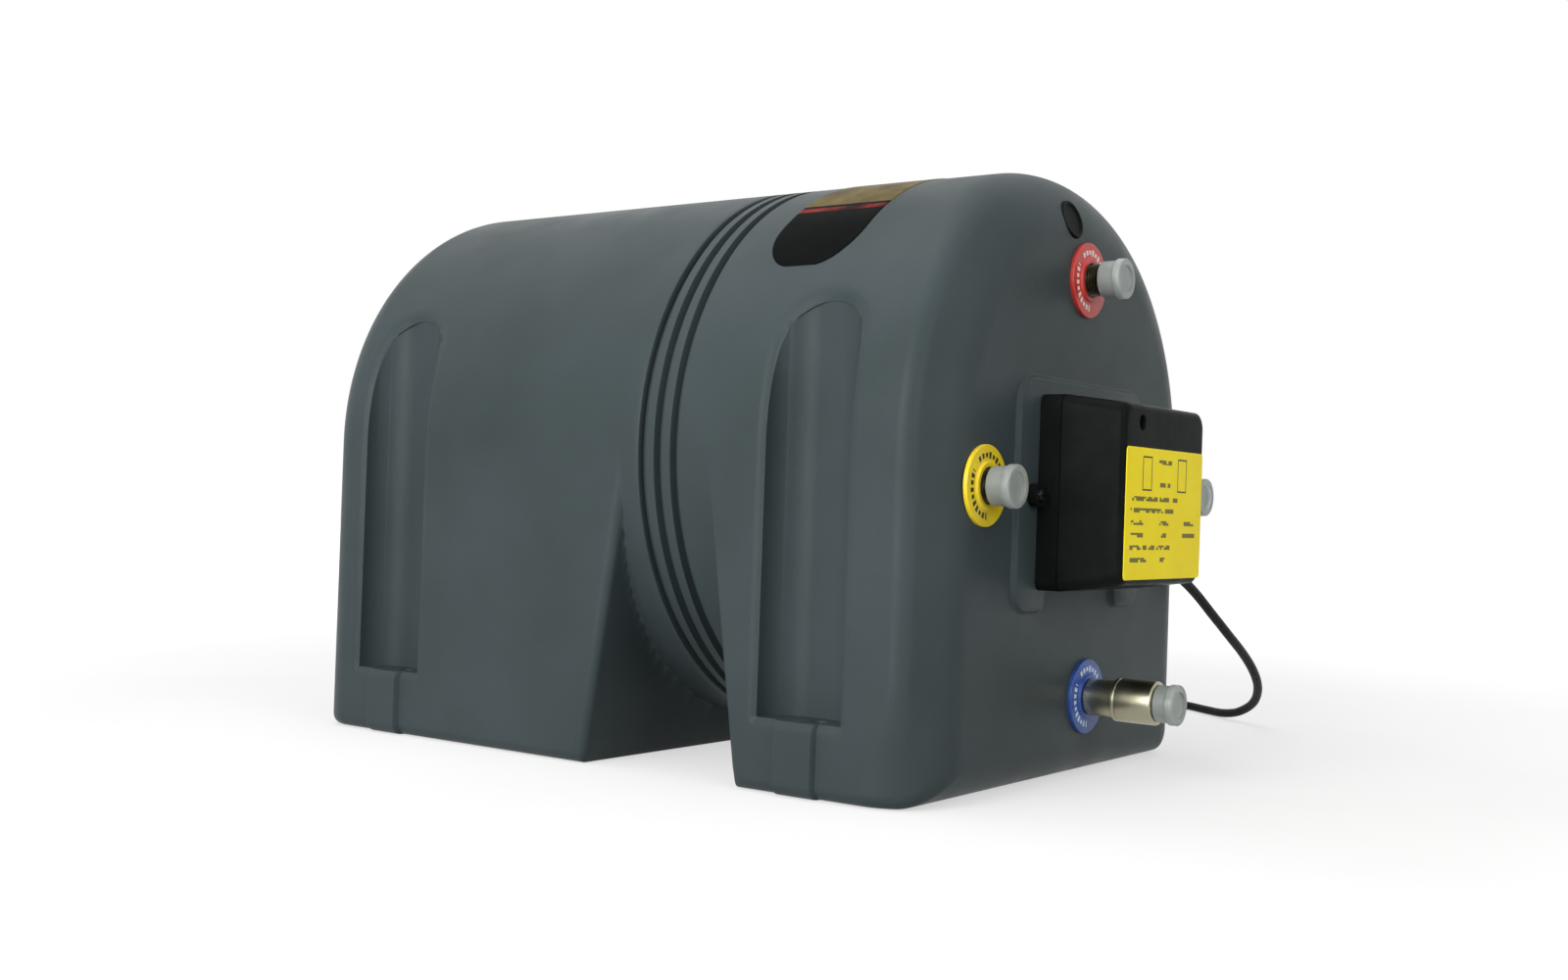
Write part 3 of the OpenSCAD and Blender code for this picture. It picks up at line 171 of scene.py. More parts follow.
# Brass, turned: bright yellow metal with fine rings from the tool
flange_brass = finish("turned_brass", ("a9873f", "c2a257"), patch=20.0, rough=(0.24, 0.36),
                      grain=LATHE_MARKS, depth=0.25, sockets=METAL)
# Brass, turned, with a painted dark reflection: dark brown metal of the pipe ends
pipe_painted_reflection = finish("brass_painted_dark_reflection", ("2b281f", "3a3529"), patch=14.3, rough=(0.26, 0.38),
                    grain=LATHE_MARKS, depth=0.10, sockets=METAL)
# Brass, nickel plated: warm pale metal, nearly smooth
valve_nickel = finish("nickel_plated_brass", ("9c9880", "b0ac95"), patch=40.0, rough=(0.26, 0.34),
                      grain=LATHE_MARKS, depth=0.01, sockets=METAL)
# Steel, zinc plated: pale metal with a cloudy sheen
bolt_zinc = finish("zinc_plated_steel", ("b6babd", "cdd0d2"), patch=8.33, rough=(0.26, 0.40),
                   grain=1.11, depth=0.15, sockets=METAL)
# Steel, blackened: dark metal of the screws of the terminal box
screw_black = finish("blackened_steel", ("55585a", "66696b"), patch=5.0, rough=(0.26, 0.36),
                     grain=1.11, depth=0.10, sockets=METAL)
# Stainless steel, rolled: grey metal with streaks along the sheet
tank_steel = finish("rolled_stainless_steel", ("a7aaab", "bcbfc0"), patch=66.7, rough=(0.28, 0.40),
                    grain=ROLLING_MARKS, depth=0.20, sockets=METAL)
# Steel, annealed: brown oxide on the sheath of the heating element
element_sheath = finish("annealed_steel", ("7c6c58", "97866f"), patch=16.7, rough=(0.38, 0.52),
                        grain=1.43, depth=0.15, sockets=METAL)
# Magnesium, cast: dull grey with the pitted skin of its mould
anode_metal = finish("cast_magnesium", ("8d8f8d", "a4a6a3"), patch=12.5, rough=(0.48, 0.62),
                     grain=3.33, depth=0.30, sockets=METAL)
# Polyurethane, foamed in place: matt straw yellow with cells
casing_foam = finish("foamed_polyurethane", ("cdb67a", "e2d3a4"), patch=16.7, rough=(0.85, 0.95),
                     grain=1.43, depth=0.70)
# Rubber sheet, pressed: matt black with the print of the cloth that it was pressed on
gasket_rubber = finish("pressed_rubber", ("1d1d1d", "2a2a2a"), patch=8.33, rough=(0.75, 0.88),
                       grain=0.667, depth=0.30)
# Nylon, moulded: cream, satin, on thermostat, terminals and valve inserts
control_plastic = finish("moulded_nylon", ("d6d0bf", "e3dece"), patch=12.5, rough=(0.42, 0.52),
                         grain=0.556, depth=0.10)
# ABS, moulded in red: the reset button
button_plastic = finish("moulded_red_abs", ("a3211f", "b92b27"), patch=11.1, rough=(0.34, 0.44),
                        grain=0.556, depth=0.10)
# PVC, extruded on wire: brown with a soft shine
wire_plastic = finish("extruded_wire_pvc", ("6f3a20", "83472a"), patch=8.33, rough=(0.38, 0.48),
                      grain=0.833, depth=0.08)

# Print on the collars
PRINT_R = 17.8
PRINT_HALF = 1.3  # least half height of a dash
PRINT_SPREAD = 0.8  # what chance may add to it
DASH_SPACING = 4.14
DASH_PLACES = round(CIRCLE * PRINT_R / DASH_SPACING)
DASH_FROM = 0.38  # share of a place that stays bare before its dash
PRINT_GAPS = ((0.889, 0.03), (0.43, 0.18))  # middle and half width of each bare stretch, in turns


def collar_finish(name, tones, ink, centre):
    """Polypropylene, moulded satin in a clear colour, with a printed ring of dashes round centre (x, z).

    A point is inked where its distance from the centre is within the band of its dash, its place within
    the dash spacing is past DASH_FROM, and its angle isn't in one of the gaps. The number of each dash
    gives it a half height by chance."""
    mat = finish(name, tones, patch=8.33, rough=(0.34, 0.44), grain=0.556, depth=0.08)
    tree, shader, where, tone = parts_of(mat)
    middle = (centre[0] * MM, 0.0, centre[1] * MM)
    off = add(tree, "VectorMath", {0: where, 1: middle}, operation="SUBTRACT")
    flat = add(tree, "VectorMath", {0: off, 1: (1.0, 0.0, 1.0)}, operation="MULTIPLY")
    radius = add(tree, "VectorMath", {0: flat}, operation="LENGTH").outputs["Value"]
    place = add(tree, "SeparateXYZ", {0: flat}).outputs
    angle = add(tree, "Math", {0: place["Z"], 1: place["X"]}, operation="ARCTAN2")
    around = add(tree, "Math", {0: angle, 1: 1 / CIRCLE, 2: 0.5}, operation="MULTIPLY_ADD")
    count = add(tree, "Math", {0: around, 1: DASH_PLACES}, operation="MULTIPLY")
    number = add(tree, "Math", {0: count}, operation="FLOOR")
    chance = add(tree, "TexWhiteNoise", {"W": number}, noise_dimensions="1D")
    half = add(tree, "Math", {0: chance, 1: PRINT_SPREAD * MM, 2: PRINT_HALF * MM}, operation="MULTIPLY_ADD")
    band = add(tree, "Math", {0: radius, 1: PRINT_R * MM, 2: half}, operation="COMPARE")
    within = add(tree, "Math", {0: count}, operation="FRACT")
    dash = add(tree, "Math", {0: within, 1: DASH_FROM}, operation="GREATER_THAN")
    inked = add(tree, "Math", {0: band, 1: dash}, operation="MULTIPLY")
    for gap_middle, gap_half in PRINT_GAPS:
        gap = add(tree, "Math", {0: around, 1: gap_middle, 2: gap_half}, operation="COMPARE")
        inked = add(tree, "Math", {0: inked, 1: gap}, operation="SUBTRACT", use_clamp=True)
    printed = add(tree, "Mix", {0: inked, 6: tone, 7: colour(ink)}, data_type="RGBA")
    tree.links.new(printed.outputs[2], shader.inputs["Base Color"])
    return mat


# Print on the label
LABEL_ROWS = (  # middle x, half length and middle z of each row of dashes
    (-16, 35, 181), (-19, 32, 174), (-41, 9, 166.5), (-1, 7, 166.5), (38, 8, 166.5), (-41, 9, 159),
    (-1, 4, 159), (38, 10, 159), (-21, 30, 151.5), (-38, 12, 144), (-3, 5, 144), (-1, 10, 204), (-1, 8, 190))
LABEL_ROW_HALF = 1.4
LABEL_CELL_X = 2.9  # a cell of the rows is inked or bare as a whole
LABEL_CELL_Z = 3.7
LABEL_BARE = 0.3  # share of the cells that stay bare
LABEL_INK = 0.85  # strength of the dashes' ink
BLANK_FRAMES = ((-28.0, 196.5), (25.0, 196.5))
BLANK_HALF = (7.0, 10.5)
BLANK_LINE = 1.0


def printed_bar(tree, place, middle, half):
    """1 within half of middle, both (x, z) in millimetres, and 0 outside."""
    across = add(tree, "Math", {0: place["X"], 1: middle[0], 2: half[0]}, operation="COMPARE")
    up = add(tree, "Math", {0: place["Z"], 1: middle[1], 2: half[1]}, operation="COMPARE")
    return add(tree, "Math", {0: across, 1: up}, operation="MULTIPLY")


def label_finish():
    """Vinyl film, printed: clear yellow, faintly glossy, with plain rows of dashes and two blank frames.

    A point is inked where it lies in a row and the chance of its cell is over LABEL_BARE, or where it
    lies in the outer rectangle of a frame and not in its inner one."""
    mat = finish("printed_vinyl", ("f6de08", "fbe614"), patch=25.0, rough=(0.40, 0.48),
                 grain=2.0, depth=0.05, sockets={"Specular IOR Level": 0.15})
    tree, shader, where, tone = parts_of(mat)
    in_mm = add(tree, "VectorMath", {0: where, 1: (1 / MM, 1 / MM, 1 / MM)}, operation="MULTIPLY")
    place = add(tree, "SeparateXYZ", {0: in_mm}).outputs
    cells_x = add(tree, "Math", {0: place["X"], 1: LABEL_CELL_X}, operation="DIVIDE")
    cells_z = add(tree, "Math", {0: place["Z"], 1: LABEL_CELL_Z}, operation="DIVIDE")
    column = add(tree, "Math", {0: cells_x}, operation="FLOOR")
    line = add(tree, "Math", {0: cells_z}, operation="FLOOR")
    cell = add(tree, "CombineXYZ", {"X": column, "Y": line})
    chance = add(tree, "TexWhiteNoise", {"Vector": cell}, noise_dimensions="2D")
    rows = 0.0
    for x, half, z in LABEL_ROWS:
        row = printed_bar(tree, place, (x, z), (half, LABEL_ROW_HALF))
        rows = add(tree, "Math", {0: rows, 1: row}, operation="MAXIMUM")
    inked = add(tree, "Math", {0: chance, 1: LABEL_BARE}, operation="GREATER_THAN")
    dashes = add(tree, "Math", {0: rows, 1: inked}, operation="MULTIPLY")
    ink = add(tree, "Math", {0: dashes, 1: LABEL_INK}, operation="MULTIPLY")
    for middle in BLANK_FRAMES:
        outer = printed_bar(tree, place, middle, BLANK_HALF)
        inner = printed_bar(tree, place, middle, [half - BLANK_LINE for half in BLANK_HALF])
        frame_line = add(tree, "Math", {0: outer, 1: inner}, operation="SUBTRACT")
        ink = add(tree, "Math", {0: ink, 1: frame_line}, operation="MAXIMUM")
    printed = add(tree, "Mix", {0: ink, 6: tone, 7: colour("2a2a22")}, data_type="RGBA")
    tree.links.new(printed.outputs[2], shader.inputs["Base Color"])
    return mat


# Print on the badge
FIELD_END = 98.0  # the bronze field reaches this far to each side
SIDE_LINE = 103.5  # middle of the red line at each side
SIDE_LINE_HALF = 2.2
BRONZE_PATCH = 16.7
BRONZE_EDGES = (0.3, 0.7)
WORN_EDGES = (0.38, 0.6)
WORN_INK = 0.102  # ink left where the line is worn most


def badge_finish():
    """Vinyl film, lacquered: deep black with a bronze field across the top and a red line at each side.

    The field is where the distance from the middle is under FIELD_END, the lines are where it is within
    SIDE_LINE_HALF of SIDE_LINE, and a noise wears their ink down to WORN_INK."""
    mat = finish("lacquered_vinyl", ("060808", "0a0d0d"), patch=33.3, rough=(0.30, 0.40),
                 grain=3.33, depth=0.03, sockets={"Specular IOR Level": 0.01})
    tree, shader, where, tone = parts_of(mat)
    across = add(tree, "SeparateXYZ", {0: where}).outputs["X"]
    side = add(tree, "Math", {0: across}, operation="ABSOLUTE")
    field = add(tree, "Math", {0: side, 1: FIELD_END * MM}, operation="LESS_THAN")
    line = add(tree, "Math", {0: side, 1: SIDE_LINE * MM, 2: SIDE_LINE_HALF * MM}, operation="COMPARE")
    flecks = add(tree, "TexNoise", {"Vector": where, "Scale": 1 / (BRONZE_PATCH * MM), "Detail": 4.0})
    share = add(tree, "MapRange", {"Value": flecks, "From Min": BRONZE_EDGES[0], "From Max": BRONZE_EDGES[1]})
    bronze = add(tree, "Mix", {0: share, 6: colour("4f462d"), 7: colour("6d5f3a")}, data_type="RGBA")
    painted = add(tree, "Mix", {0: field, 6: tone, 7: bronze.outputs[2]}, data_type="RGBA")
    rubbed = add(tree, "TexNoise", {"Vector": where, "Scale": 1 / (BRONZE_PATCH * MM), "Detail": 3.0})
    worn = add(tree, "MapRange", {"Value": rubbed, "From Min": WORN_EDGES[0], "From Max": WORN_EDGES[1],
                                  "To Min": WORN_INK, "To Max": 1.0})
    ink = add(tree, "Math", {0: line, 1: worn}, operation="MULTIPLY")
    lined = add(tree, "Mix", {0: ink, 6: painted.outputs[2], 7: colour("7c2a28")}, data_type="RGBA")
    tree.links.new(lined.outputs[2], shader.inputs["Base Color"])
    return mat


label_film = label_finish()
badge_film = badge_finish()

# Shape tools
ARC_PULL = 0.5523  # pull on a cubic curve's handles that comes closest to a quarter circle
SIDE_SHARE = 0.49  # a rounding takes at most this share of the side beside its corner
SUM_STEPS = 4000
TUBE_START = (0.3, 0.5, 0.8)  # any way that no tube starts along
WELD = 0.002 * MM
FLAT = 0.001 * MM
SLIVER = 0.02 * MM
CREASE = 38.0


def soft_min(a, b, blend):
    """Smaller of a and b, with a parabola between them where they are less than blend apart."""
    share = np.clip(0.5 + 0.5 * (b - a) / blend, 0, 1)
    return b + (a - b) * share - blend * share * (1 - share)


def ease(t):
    """Smooth step from 0 to 1: three times the square less twice the cube."""
    t = np.clip(t, 0, 1)
    return t * t * (3 - 2 * t)


def spaced(a, b, gap, *spots):
    """Values from a to b about gap apart, closer near each spot (middle, half width, gap there).

    The wanted density is 1 / gap with a bell about each spot. It is summed along the way, and the sum is
    cut into equal shares."""
    fine = np.linspace(a, b, SUM_STEPS + 1)
    want = np.full_like(fine, 1 / gap)
    for middle, half, near in spots:
        want = np.maximum(want, np.exp(-((fine - middle) / half) ** 2) / near)
    total = np.append(0, np.cumsum((want[1:] + want[:-1]) / 2 * abs(b - a) / SUM_STEPS))
    return np.interp(np.linspace(0, total[-1], int(round(total[-1])) + 1), total, fine)


def soften(points, radii, closed=False, steps=6):
    """Line through points with each corner rounded by its radius.

    A corner becomes a cubic curve close to an arc. Its ends lie back from the corner by the radius over
    the tangent of half the corner's angle, and its handles go ARC_PULL of the way to the corner."""
    points = np.asarray(points, float)
    count = len(points)
    radii = np.broadcast_to(radii, count)
    t = np.linspace(0, 1, steps)[:, None]
    made = []
    for i, corner in enumerate(points):
        if radii[i] == 0 or not closed and i in (0, count - 1):
            made.append(corner[None])
            continue
        before = points[i - 1] - corner
        after = points[(i + 1) % count] - corner
        length_before = np.linalg.norm(before)
        length_after = np.linalg.norm(after)
        half = math.acos(np.clip(before @ after / length_before / length_after, -1, 1)) / 2
        back = min(radii[i] / math.tan(half), SIDE_SHARE * length_before, SIDE_SHARE * length_after)
        start = corner + before / length_before * back
        end = corner + after / length_after * back
        made.append((1 - t) ** 3 * start + 3 * (1 - t) ** 2 * t * (start + (corner - start) * ARC_PULL)
                    + 3 * (1 - t) * t ** 2 * (end + (corner - end) * ARC_PULL) + t ** 3 * end)
    return np.vstack(made)


def grid(points, wrap=False):
    """Surface over rows by columns of points, one quad between four neighbours; wrap joins the last column
    to the first."""
    rows, columns = points.shape[:2]
    ids = np.arange(rows * columns).reshape(rows, columns)
    here, there = (ids, np.roll(ids, -1, 1)) if wrap else (ids[:, :-1], ids[:, 1:])
    quads = np.stack([here[:-1], there[:-1], there[1:], here[1:]], -1).reshape(-1, 4)
    return points.reshape(-1, 3), [quads]


def capped(rings):
    """Tube through closed rings of points, with a flat face over the first and over the last ring."""
    points, faces = grid(rings, True)
    ids = np.arange(len(points)).reshape(rings.shape[:2])
    return points, faces + [ids[:1], ids[-1:]]


def lathe(profile, centre=(0.0, 0.0), sides=72, shape=None):
    """Profile of (y, radius) turned about the line along y through centre (x, z).

    shape(angle, y, radius) may alter the radius round the turn."""
    profile = np.asarray(profile, float)
    angle = np.linspace(0, CIRCLE, sides, endpoint=False)[None, :]
    y = profile[:, :1]
    radius = profile[:, 1:] + 0 * angle
    if shape:
        radius = shape(angle, y, radius)
    x = centre[0] + radius * np.cos(angle)
    z = centre[1] + radius * np.sin(angle)
    return grid(np.stack([x, y + 0 * angle, z], -1), True)


def loop(profile):
    """Closed profile: the first point again at the end."""
    return np.vstack([profile, profile[:1]])


def upright(ring, y):
    """Outline of (x, z) set up at place y."""
    return np.stack([ring[:, 0], np.full(len(ring), y), ring[:, 1]], -1)


def through(points, steps):
    """Round curve through points: from each to the next a cubic in equal steps.

    At a point it runs along the line between the points before and after it."""
    points = np.asarray(points, float)
    p = np.vstack([points[:1], points, points[-1:]])
    before, here, there, after = p[:-3, None], p[1:-2, None], p[2:-1, None], p[3:, None]
    t = (np.arange(steps) / steps)[None, :, None]
    made = 0.5 * (2 * here + (there - before) * t + (2 * before - 5 * here + 4 * there - after) * t ** 2
                  + (3 * here - before - 3 * there + after) * t ** 3)
    return np.vstack([made.reshape(-1, 3), points[-1:]])


def tube(path, radius, sides=16):
    """Round tube: a ring across the path at each point, carried along without twist, closed at both ends.

    The way to the side at a point is the one before it, less its part along the path."""
    ahead = np.gradient(path, axis=0)
    ahead /= np.linalg.norm(ahead, axis=1, keepdims=True)
    side = np.empty_like(path)
    last = np.cross(ahead[0], TUBE_START)
    for i, way in enumerate(ahead):
        last = last - way * (last @ way)
        last /= np.linalg.norm(last)
        side[i] = last
    turn = np.linspace(0, CIRCLE, sides, endpoint=False)[None, :, None]
    up = np.cross(ahead, side)
    rings = path[:, None] + radius * (np.cos(turn) * side[:, None] + np.sin(turn) * up[:, None])
    ends = np.repeat(path[[0, -1], None], sides, 1)
    return grid(np.concatenate([ends[:1], rings, ends[1:]]), True)


def mesh_of(name, parts):
    """Mesh in metres from (points, faces) parts, welded where points meet, with its faces outwards."""
    starts = np.cumsum([0] + [len(points) for points, blocks in parts])
    faces = [face for start, (points, blocks) in zip(starts, parts) for block in blocks
             for face in (block + start).tolist()]
    mesh = bpy.data.meshes.new(name)
    mesh.from_pydata(np.vstack([points for points, blocks in parts]) * MM, [], faces)
    bm = bmesh.new()
    bm.from_mesh(mesh)
    bmesh.ops.remove_doubles(bm, verts=bm.verts, dist=WELD)
    bmesh.ops.dissolve_degenerate(bm, edges=bm.edges, dist=FLAT)
    bmesh.ops.recalc_face_normals(bm, faces=bm.faces)
    bm.to_mesh(mesh)
    bm.free()
    return mesh


def cut(mesh, cutters):
    """Mesh with the cutter parts taken out of it, and the slivers that this leaves merged away."""
    body = bpy.data.objects.new("cut_body", mesh)
    tool = bpy.data.objects.new("cut_tool", mesh_of("cut_tool", cutters))
    for obj in (body, tool):
        scene.collection.objects.link(obj)
    change = body.modifiers.new("cut", "BOOLEAN")
    change.operation = "DIFFERENCE"
    change.solver = "EXACT"
    change.object = tool
    made = bpy.data.meshes.new_from_object(body.evaluated_get(bpy.context.evaluated_depsgraph_get()))
    for obj in (body, tool):
        bpy.data.objects.remove(obj)
    bm = bmesh.new()
    bm.from_mesh(made)
    bmesh.ops.remove_doubles(bm, verts=bm.verts, dist=SLIVER)
    bmesh.ops.dissolve_degenerate(bm, edges=bm.edges, dist=SLIVER)
    bmesh.ops.triangulate(bm, faces=[face for face in bm.faces if len(face.verts) > 4])
    bm.to_mesh(made)
    bm.free()
    return made


def joined(mesh, extra):
    """Mesh with further parts added as islands."""
    bm = bmesh.new()
    bm.from_mesh(mesh)
    bm.from_mesh(mesh_of("extra", extra))
    bm.to_mesh(mesh)
    bm.free()
    return mesh


def piece(name, mesh, mat, nodes=(), body="heater", crease=CREASE):
    """Object from a mesh or from (points, faces) parts: smooth but for edges sharper than crease, riding on
    a body, standing for CAD nodes."""
    if isinstance(mesh, list):
        mesh = mesh_of(name, mesh)
    mesh.name = name
    mesh.materials.clear()
    mesh.materials.append(mat)
    mesh.shade_smooth()
    mesh.set_sharp_from_angle(angle=math.radians(crease))
    obj = bpy.data.objects.new(name, mesh)
    scene.collection.objects.link(obj)
    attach(obj, body)
    if nodes:
        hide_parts(*([nodes] if isinstance(nodes, str) else nodes))
    return obj


# Mains lead
CABLE_R = 3.5
CABLE_SIDES = 14
BOX_X = 64.0  # side of the terminal box where the lead leaves it
GLAND_Y = -265.1
GLAND_Z = 138.0
CABLE_LOW = 3.6  # middle of the lead where it lies on the floor
WRAP_X = 330.0  # middle of the coil
WRAP_Y = 120.0
WRAP_R = 48.0  # outer turn
WRAP_Z = 4.9  # lower layer
LAYER = 7.6  # from one layer of turns to the next
PITCH = 8.0  # from one turn to the one beside it
TURNS = 4
TURN_STEPS = 72
CHANGE = 90.0  # degrees before and after its middle in which the coil changes layer
PLUG_X = WRAP_X + WRAP_R
PLUG_Z = 18.5
TAIL_Y = 178.0  # where the lead enters the plug
INSIDE = 0.5  # what the route has inside the box, and this much outside, is left out after its exit

HANG = [
    [BOX_X - 6, GLAND_Y, GLAND_Z], [BOX_X + 8, GLAND_Y, GLAND_Z], [92.5, GLAND_Y, GLAND_Z],
    [103.5, GLAND_Y, GLAND_Z], [134, GLAND_Y, 131.38], [169, GLAND_Y, 118], [206, -264.8, 100.33],
    [243, -263.6, 83.5], [279, -261.4, 68.03], [311, -258, 53.27], [338, -252.6, 39.74], [359, -245, 28.7],
    [375, -236, 19.87], [388, -225, 13], [400, -211.5, 7.4], [413, -195, 4.4], [430, -174.5, CABLE_LOW],
    [447, -151, CABLE_LOW], [460, -124, CABLE_LOW], [467, -95, CABLE_LOW], [467, -65, CABLE_LOW],
    [461, -36, CABLE_LOW], [450.5, -9, CABLE_LOW], [437, 16, CABLE_LOW], [422.5, 39, 3.8], [408.5, 60, 4.3],
    [396.5, 78.5, WRAP_Z], [387, 94.5, WRAP_Z],
    [PLUG_X + 2.4, WRAP_Y - 12, WRAP_Z], [PLUG_X, WRAP_Y - 0.5, WRAP_Z]]
COIL_TOP = WRAP_Z + LAYER
TAIL = [
    [PLUG_X, WRAP_Y, COIL_TOP], [PLUG_X, WRAP_Y + 12, COIL_TOP], [PLUG_X, WRAP_Y + 24, COIL_TOP + 1.6],
    [PLUG_X, WRAP_Y + 36, COIL_TOP + 4.4], [PLUG_X, WRAP_Y + 47, PLUG_Z], [PLUG_X, TAIL_Y, PLUG_Z]]


def cable_route():
    """Route of the lead: out of the gland, down to the floor on the right, back to the coil, and to the plug.

    The coil winds inwards on the floor for half its turns, rises by a layer, and winds out again on top."""
    angle = np.linspace(0, TURNS * 360, TURNS * TURN_STEPS + 1)[1:-1]
    half_way = TURNS * 180
    radius = WRAP_R - PITCH * TURNS / 2 + PITCH * np.abs(angle - half_way) / 360
    height = WRAP_Z + LAYER * ease((angle - half_way + CHANGE) / (2 * CHANGE))
    turn = np.radians(angle)
    wrap = np.stack([WRAP_X + radius * np.cos(turn), WRAP_Y + radius * np.sin(turn), height], -1)
    whole = np.vstack([through(HANG, 6), wrap, through(TAIL, 4)])
    return np.vstack([[[BOX_X, GLAND_Y, GLAND_Z]], whole[whole[:, 0] > BOX_X + INSIDE]])


# Tie round the coil
STRAP_HALF = 3.0
STRAP_THICK = 1.0
STRAP_BEVEL = 0.3
STRAP_SKIN = 0.02  # keeps the strap's faces off those of its solid
STRAP_ROOM = 0.3  # between lead and strap
STRAP_LOW = 1.1
STRAP_BEND = 2.5


def strap_loop():
    """Cable tie: a flat strap section with bevelled edges, carried round a rounded rectangle about the coil.

    Each corner of the section makes one ring, as far out and as far along y as the corner is."""
    near = WRAP_R - 1.5 * PITCH - CABLE_R - STRAP_ROOM
    far = WRAP_R - 0.5 * PITCH + CABLE_R + STRAP_ROOM
    high = COIL_TOP + CABLE_R + STRAP_ROOM
    edge = STRAP_HALF - STRAP_BEVEL
    inner, outer = STRAP_SKIN, STRAP_THICK - STRAP_SKIN
    bevel_in, bevel_out = STRAP_BEVEL, STRAP_THICK - STRAP_BEVEL
    section = [(inner, edge), (inner, -edge), (bevel_in, -STRAP_HALF), (bevel_out, -STRAP_HALF),
               (outer, -edge), (outer, edge), (bevel_out, STRAP_HALF), (bevel_in, STRAP_HALF)]
    rings = []
    for out, along in loop(section):
        corners = [[-far - out, STRAP_LOW - out], [-near + out, STRAP_LOW - out],
                   [-near + out, high + out], [-far - out, high + out]]
        ring = soften(corners, STRAP_BEND + out, True, 8)
        rings.append(upright(ring + (WRAP_X, 0.0), WRAP_Y + along))
    return grid(np.stack(rings), True)


# Plug on the lead, with places along y
NECK_BACK = TAIL_Y + 0.1
NECK_BORE = 3.0
NECK_LIP = 5.6
NECK_R = 6.0
NECK_FLARE = 0.28  # radius gained per millimetre
NECK_RIBS = np.arange(180.0, 193.0, 1.2)
RIB_OUT = 0.5
RIB_IN = 0.4
PLUG_R = 18.5
PLUG_BACK = 194.0
PLUG_SHOULDER = 195.5
PLUG_FRONT = 220.0
PLUG_FACE = 219.2
PLUG_ROUND = 1.2
PLUG_BACK_R = 11.0
PLUG_FACE_R = 13.0  # of the sunk face round the pins
PLUG_GROOVE_BACK = 196.0
PLUG_GROOVE_HALF = 3.3
PLUG_GROOVE_R = 16.2
PLUG_SIDES = 96
PIN_OFF = 9.5
PIN_R = 2.4
PIN_BACK = 218.0
PIN_TIP = 239.0
PIN_ROUND = 1.6
PIN_SIDES = 28


def plug_parts():
    """Mains plug turned about the lead's line: a neck that flares in ribs, and a round body.

    Where the height off the middle is under PLUG_GROOVE_HALF, the body's radius is held to
    PLUG_GROOVE_R, which makes a groove in each side. The pins are rods with round tips."""
    def grooved(angle, y, radius):
        in_groove = (y > PLUG_GROOVE_BACK) & (np.abs(np.sin(angle) * PLUG_R) < PLUG_GROOVE_HALF)
        return np.where(in_groove, np.minimum(radius, PLUG_GROOVE_R), radius)
    neck = [(NECK_BACK, 0.0), (NECK_BACK, NECK_BORE), (NECK_BACK + 0.2, NECK_LIP)]
    rib = np.where(np.arange(len(NECK_RIBS)) % 2, RIB_OUT, -RIB_IN)
    ribs = np.stack([NECK_RIBS, NECK_R + (NECK_RIBS - TAIL_Y) * NECK_FLARE + rib], -1)
    shell = soften([(PLUG_BACK, PLUG_BACK_R), (PLUG_SHOULDER, PLUG_R), (PLUG_FRONT - 0.5, PLUG_R),
                    (PLUG_FRONT, PLUG_R - 1.0), (PLUG_FACE, PLUG_FACE_R)], PLUG_ROUND)
    body = lathe(np.vstack([neck, ribs, shell, [(PLUG_FACE, 0.0)]]), (PLUG_X, PLUG_Z), PLUG_SIDES, grooved)
    rod = soften([(PIN_BACK, PIN_R), (PIN_TIP, PIN_R), (PIN_TIP, 0.0)], PIN_ROUND)
    rod = np.vstack([[(PIN_BACK, 0.0)], rod])
    return body, [lathe(rod, (PLUG_X + side * PIN_OFF, PLUG_Z), PIN_SIDES) for side in (-1, 1)]


route = cable_route()
cable = piece("mains_lead", [tube(route, CABLE_R, CABLE_SIDES)], sheath_plastic,
              ("mains_cable", "cable_coil"))
tie = piece("lead_tie", [strap_loop()], box_plastic, "coil_tie")
plug_body, plug_pins = plug_parts()
plug = piece("lead_plug", [plug_body], box_plastic, "mains_plug")
pins = piece("lead_pins", plug_pins, valve_nickel, "mains_plug")

# Gland, with places along x
NUT_START = BOX_X + 0.1
NUT_END = BOX_X + 8.0
NUT_R = 6.0
NUT_FLAT = 5.45  # from the middle to a flat
NUT_ROUND = 0.6
NUT_FACE_R = 5.0
BOOT_START = NUT_END + 0.4
BOOT_STEP = 0.7
BOOT_R = 5.1
BOOT_TAPER = 0.75  # radius lost over BOOT_LENGTH
BOOT_LENGTH = 19.0
BOOT_RIB_TURN = 2.1  # radians per millimetre, a rib each 3 mm
BOOT_RIB_FROM = 0.2
BOOT_RIB_DEPTH = 0.45
BOOT_END = BOX_X + 28.1
BOOT_END_R = 4.2
BOOT_BORE = 3.4
BOOT_BORE_END = BOOT_END - 2.1
GLAND_SIDES = 72
GLAND_CREASE = 30


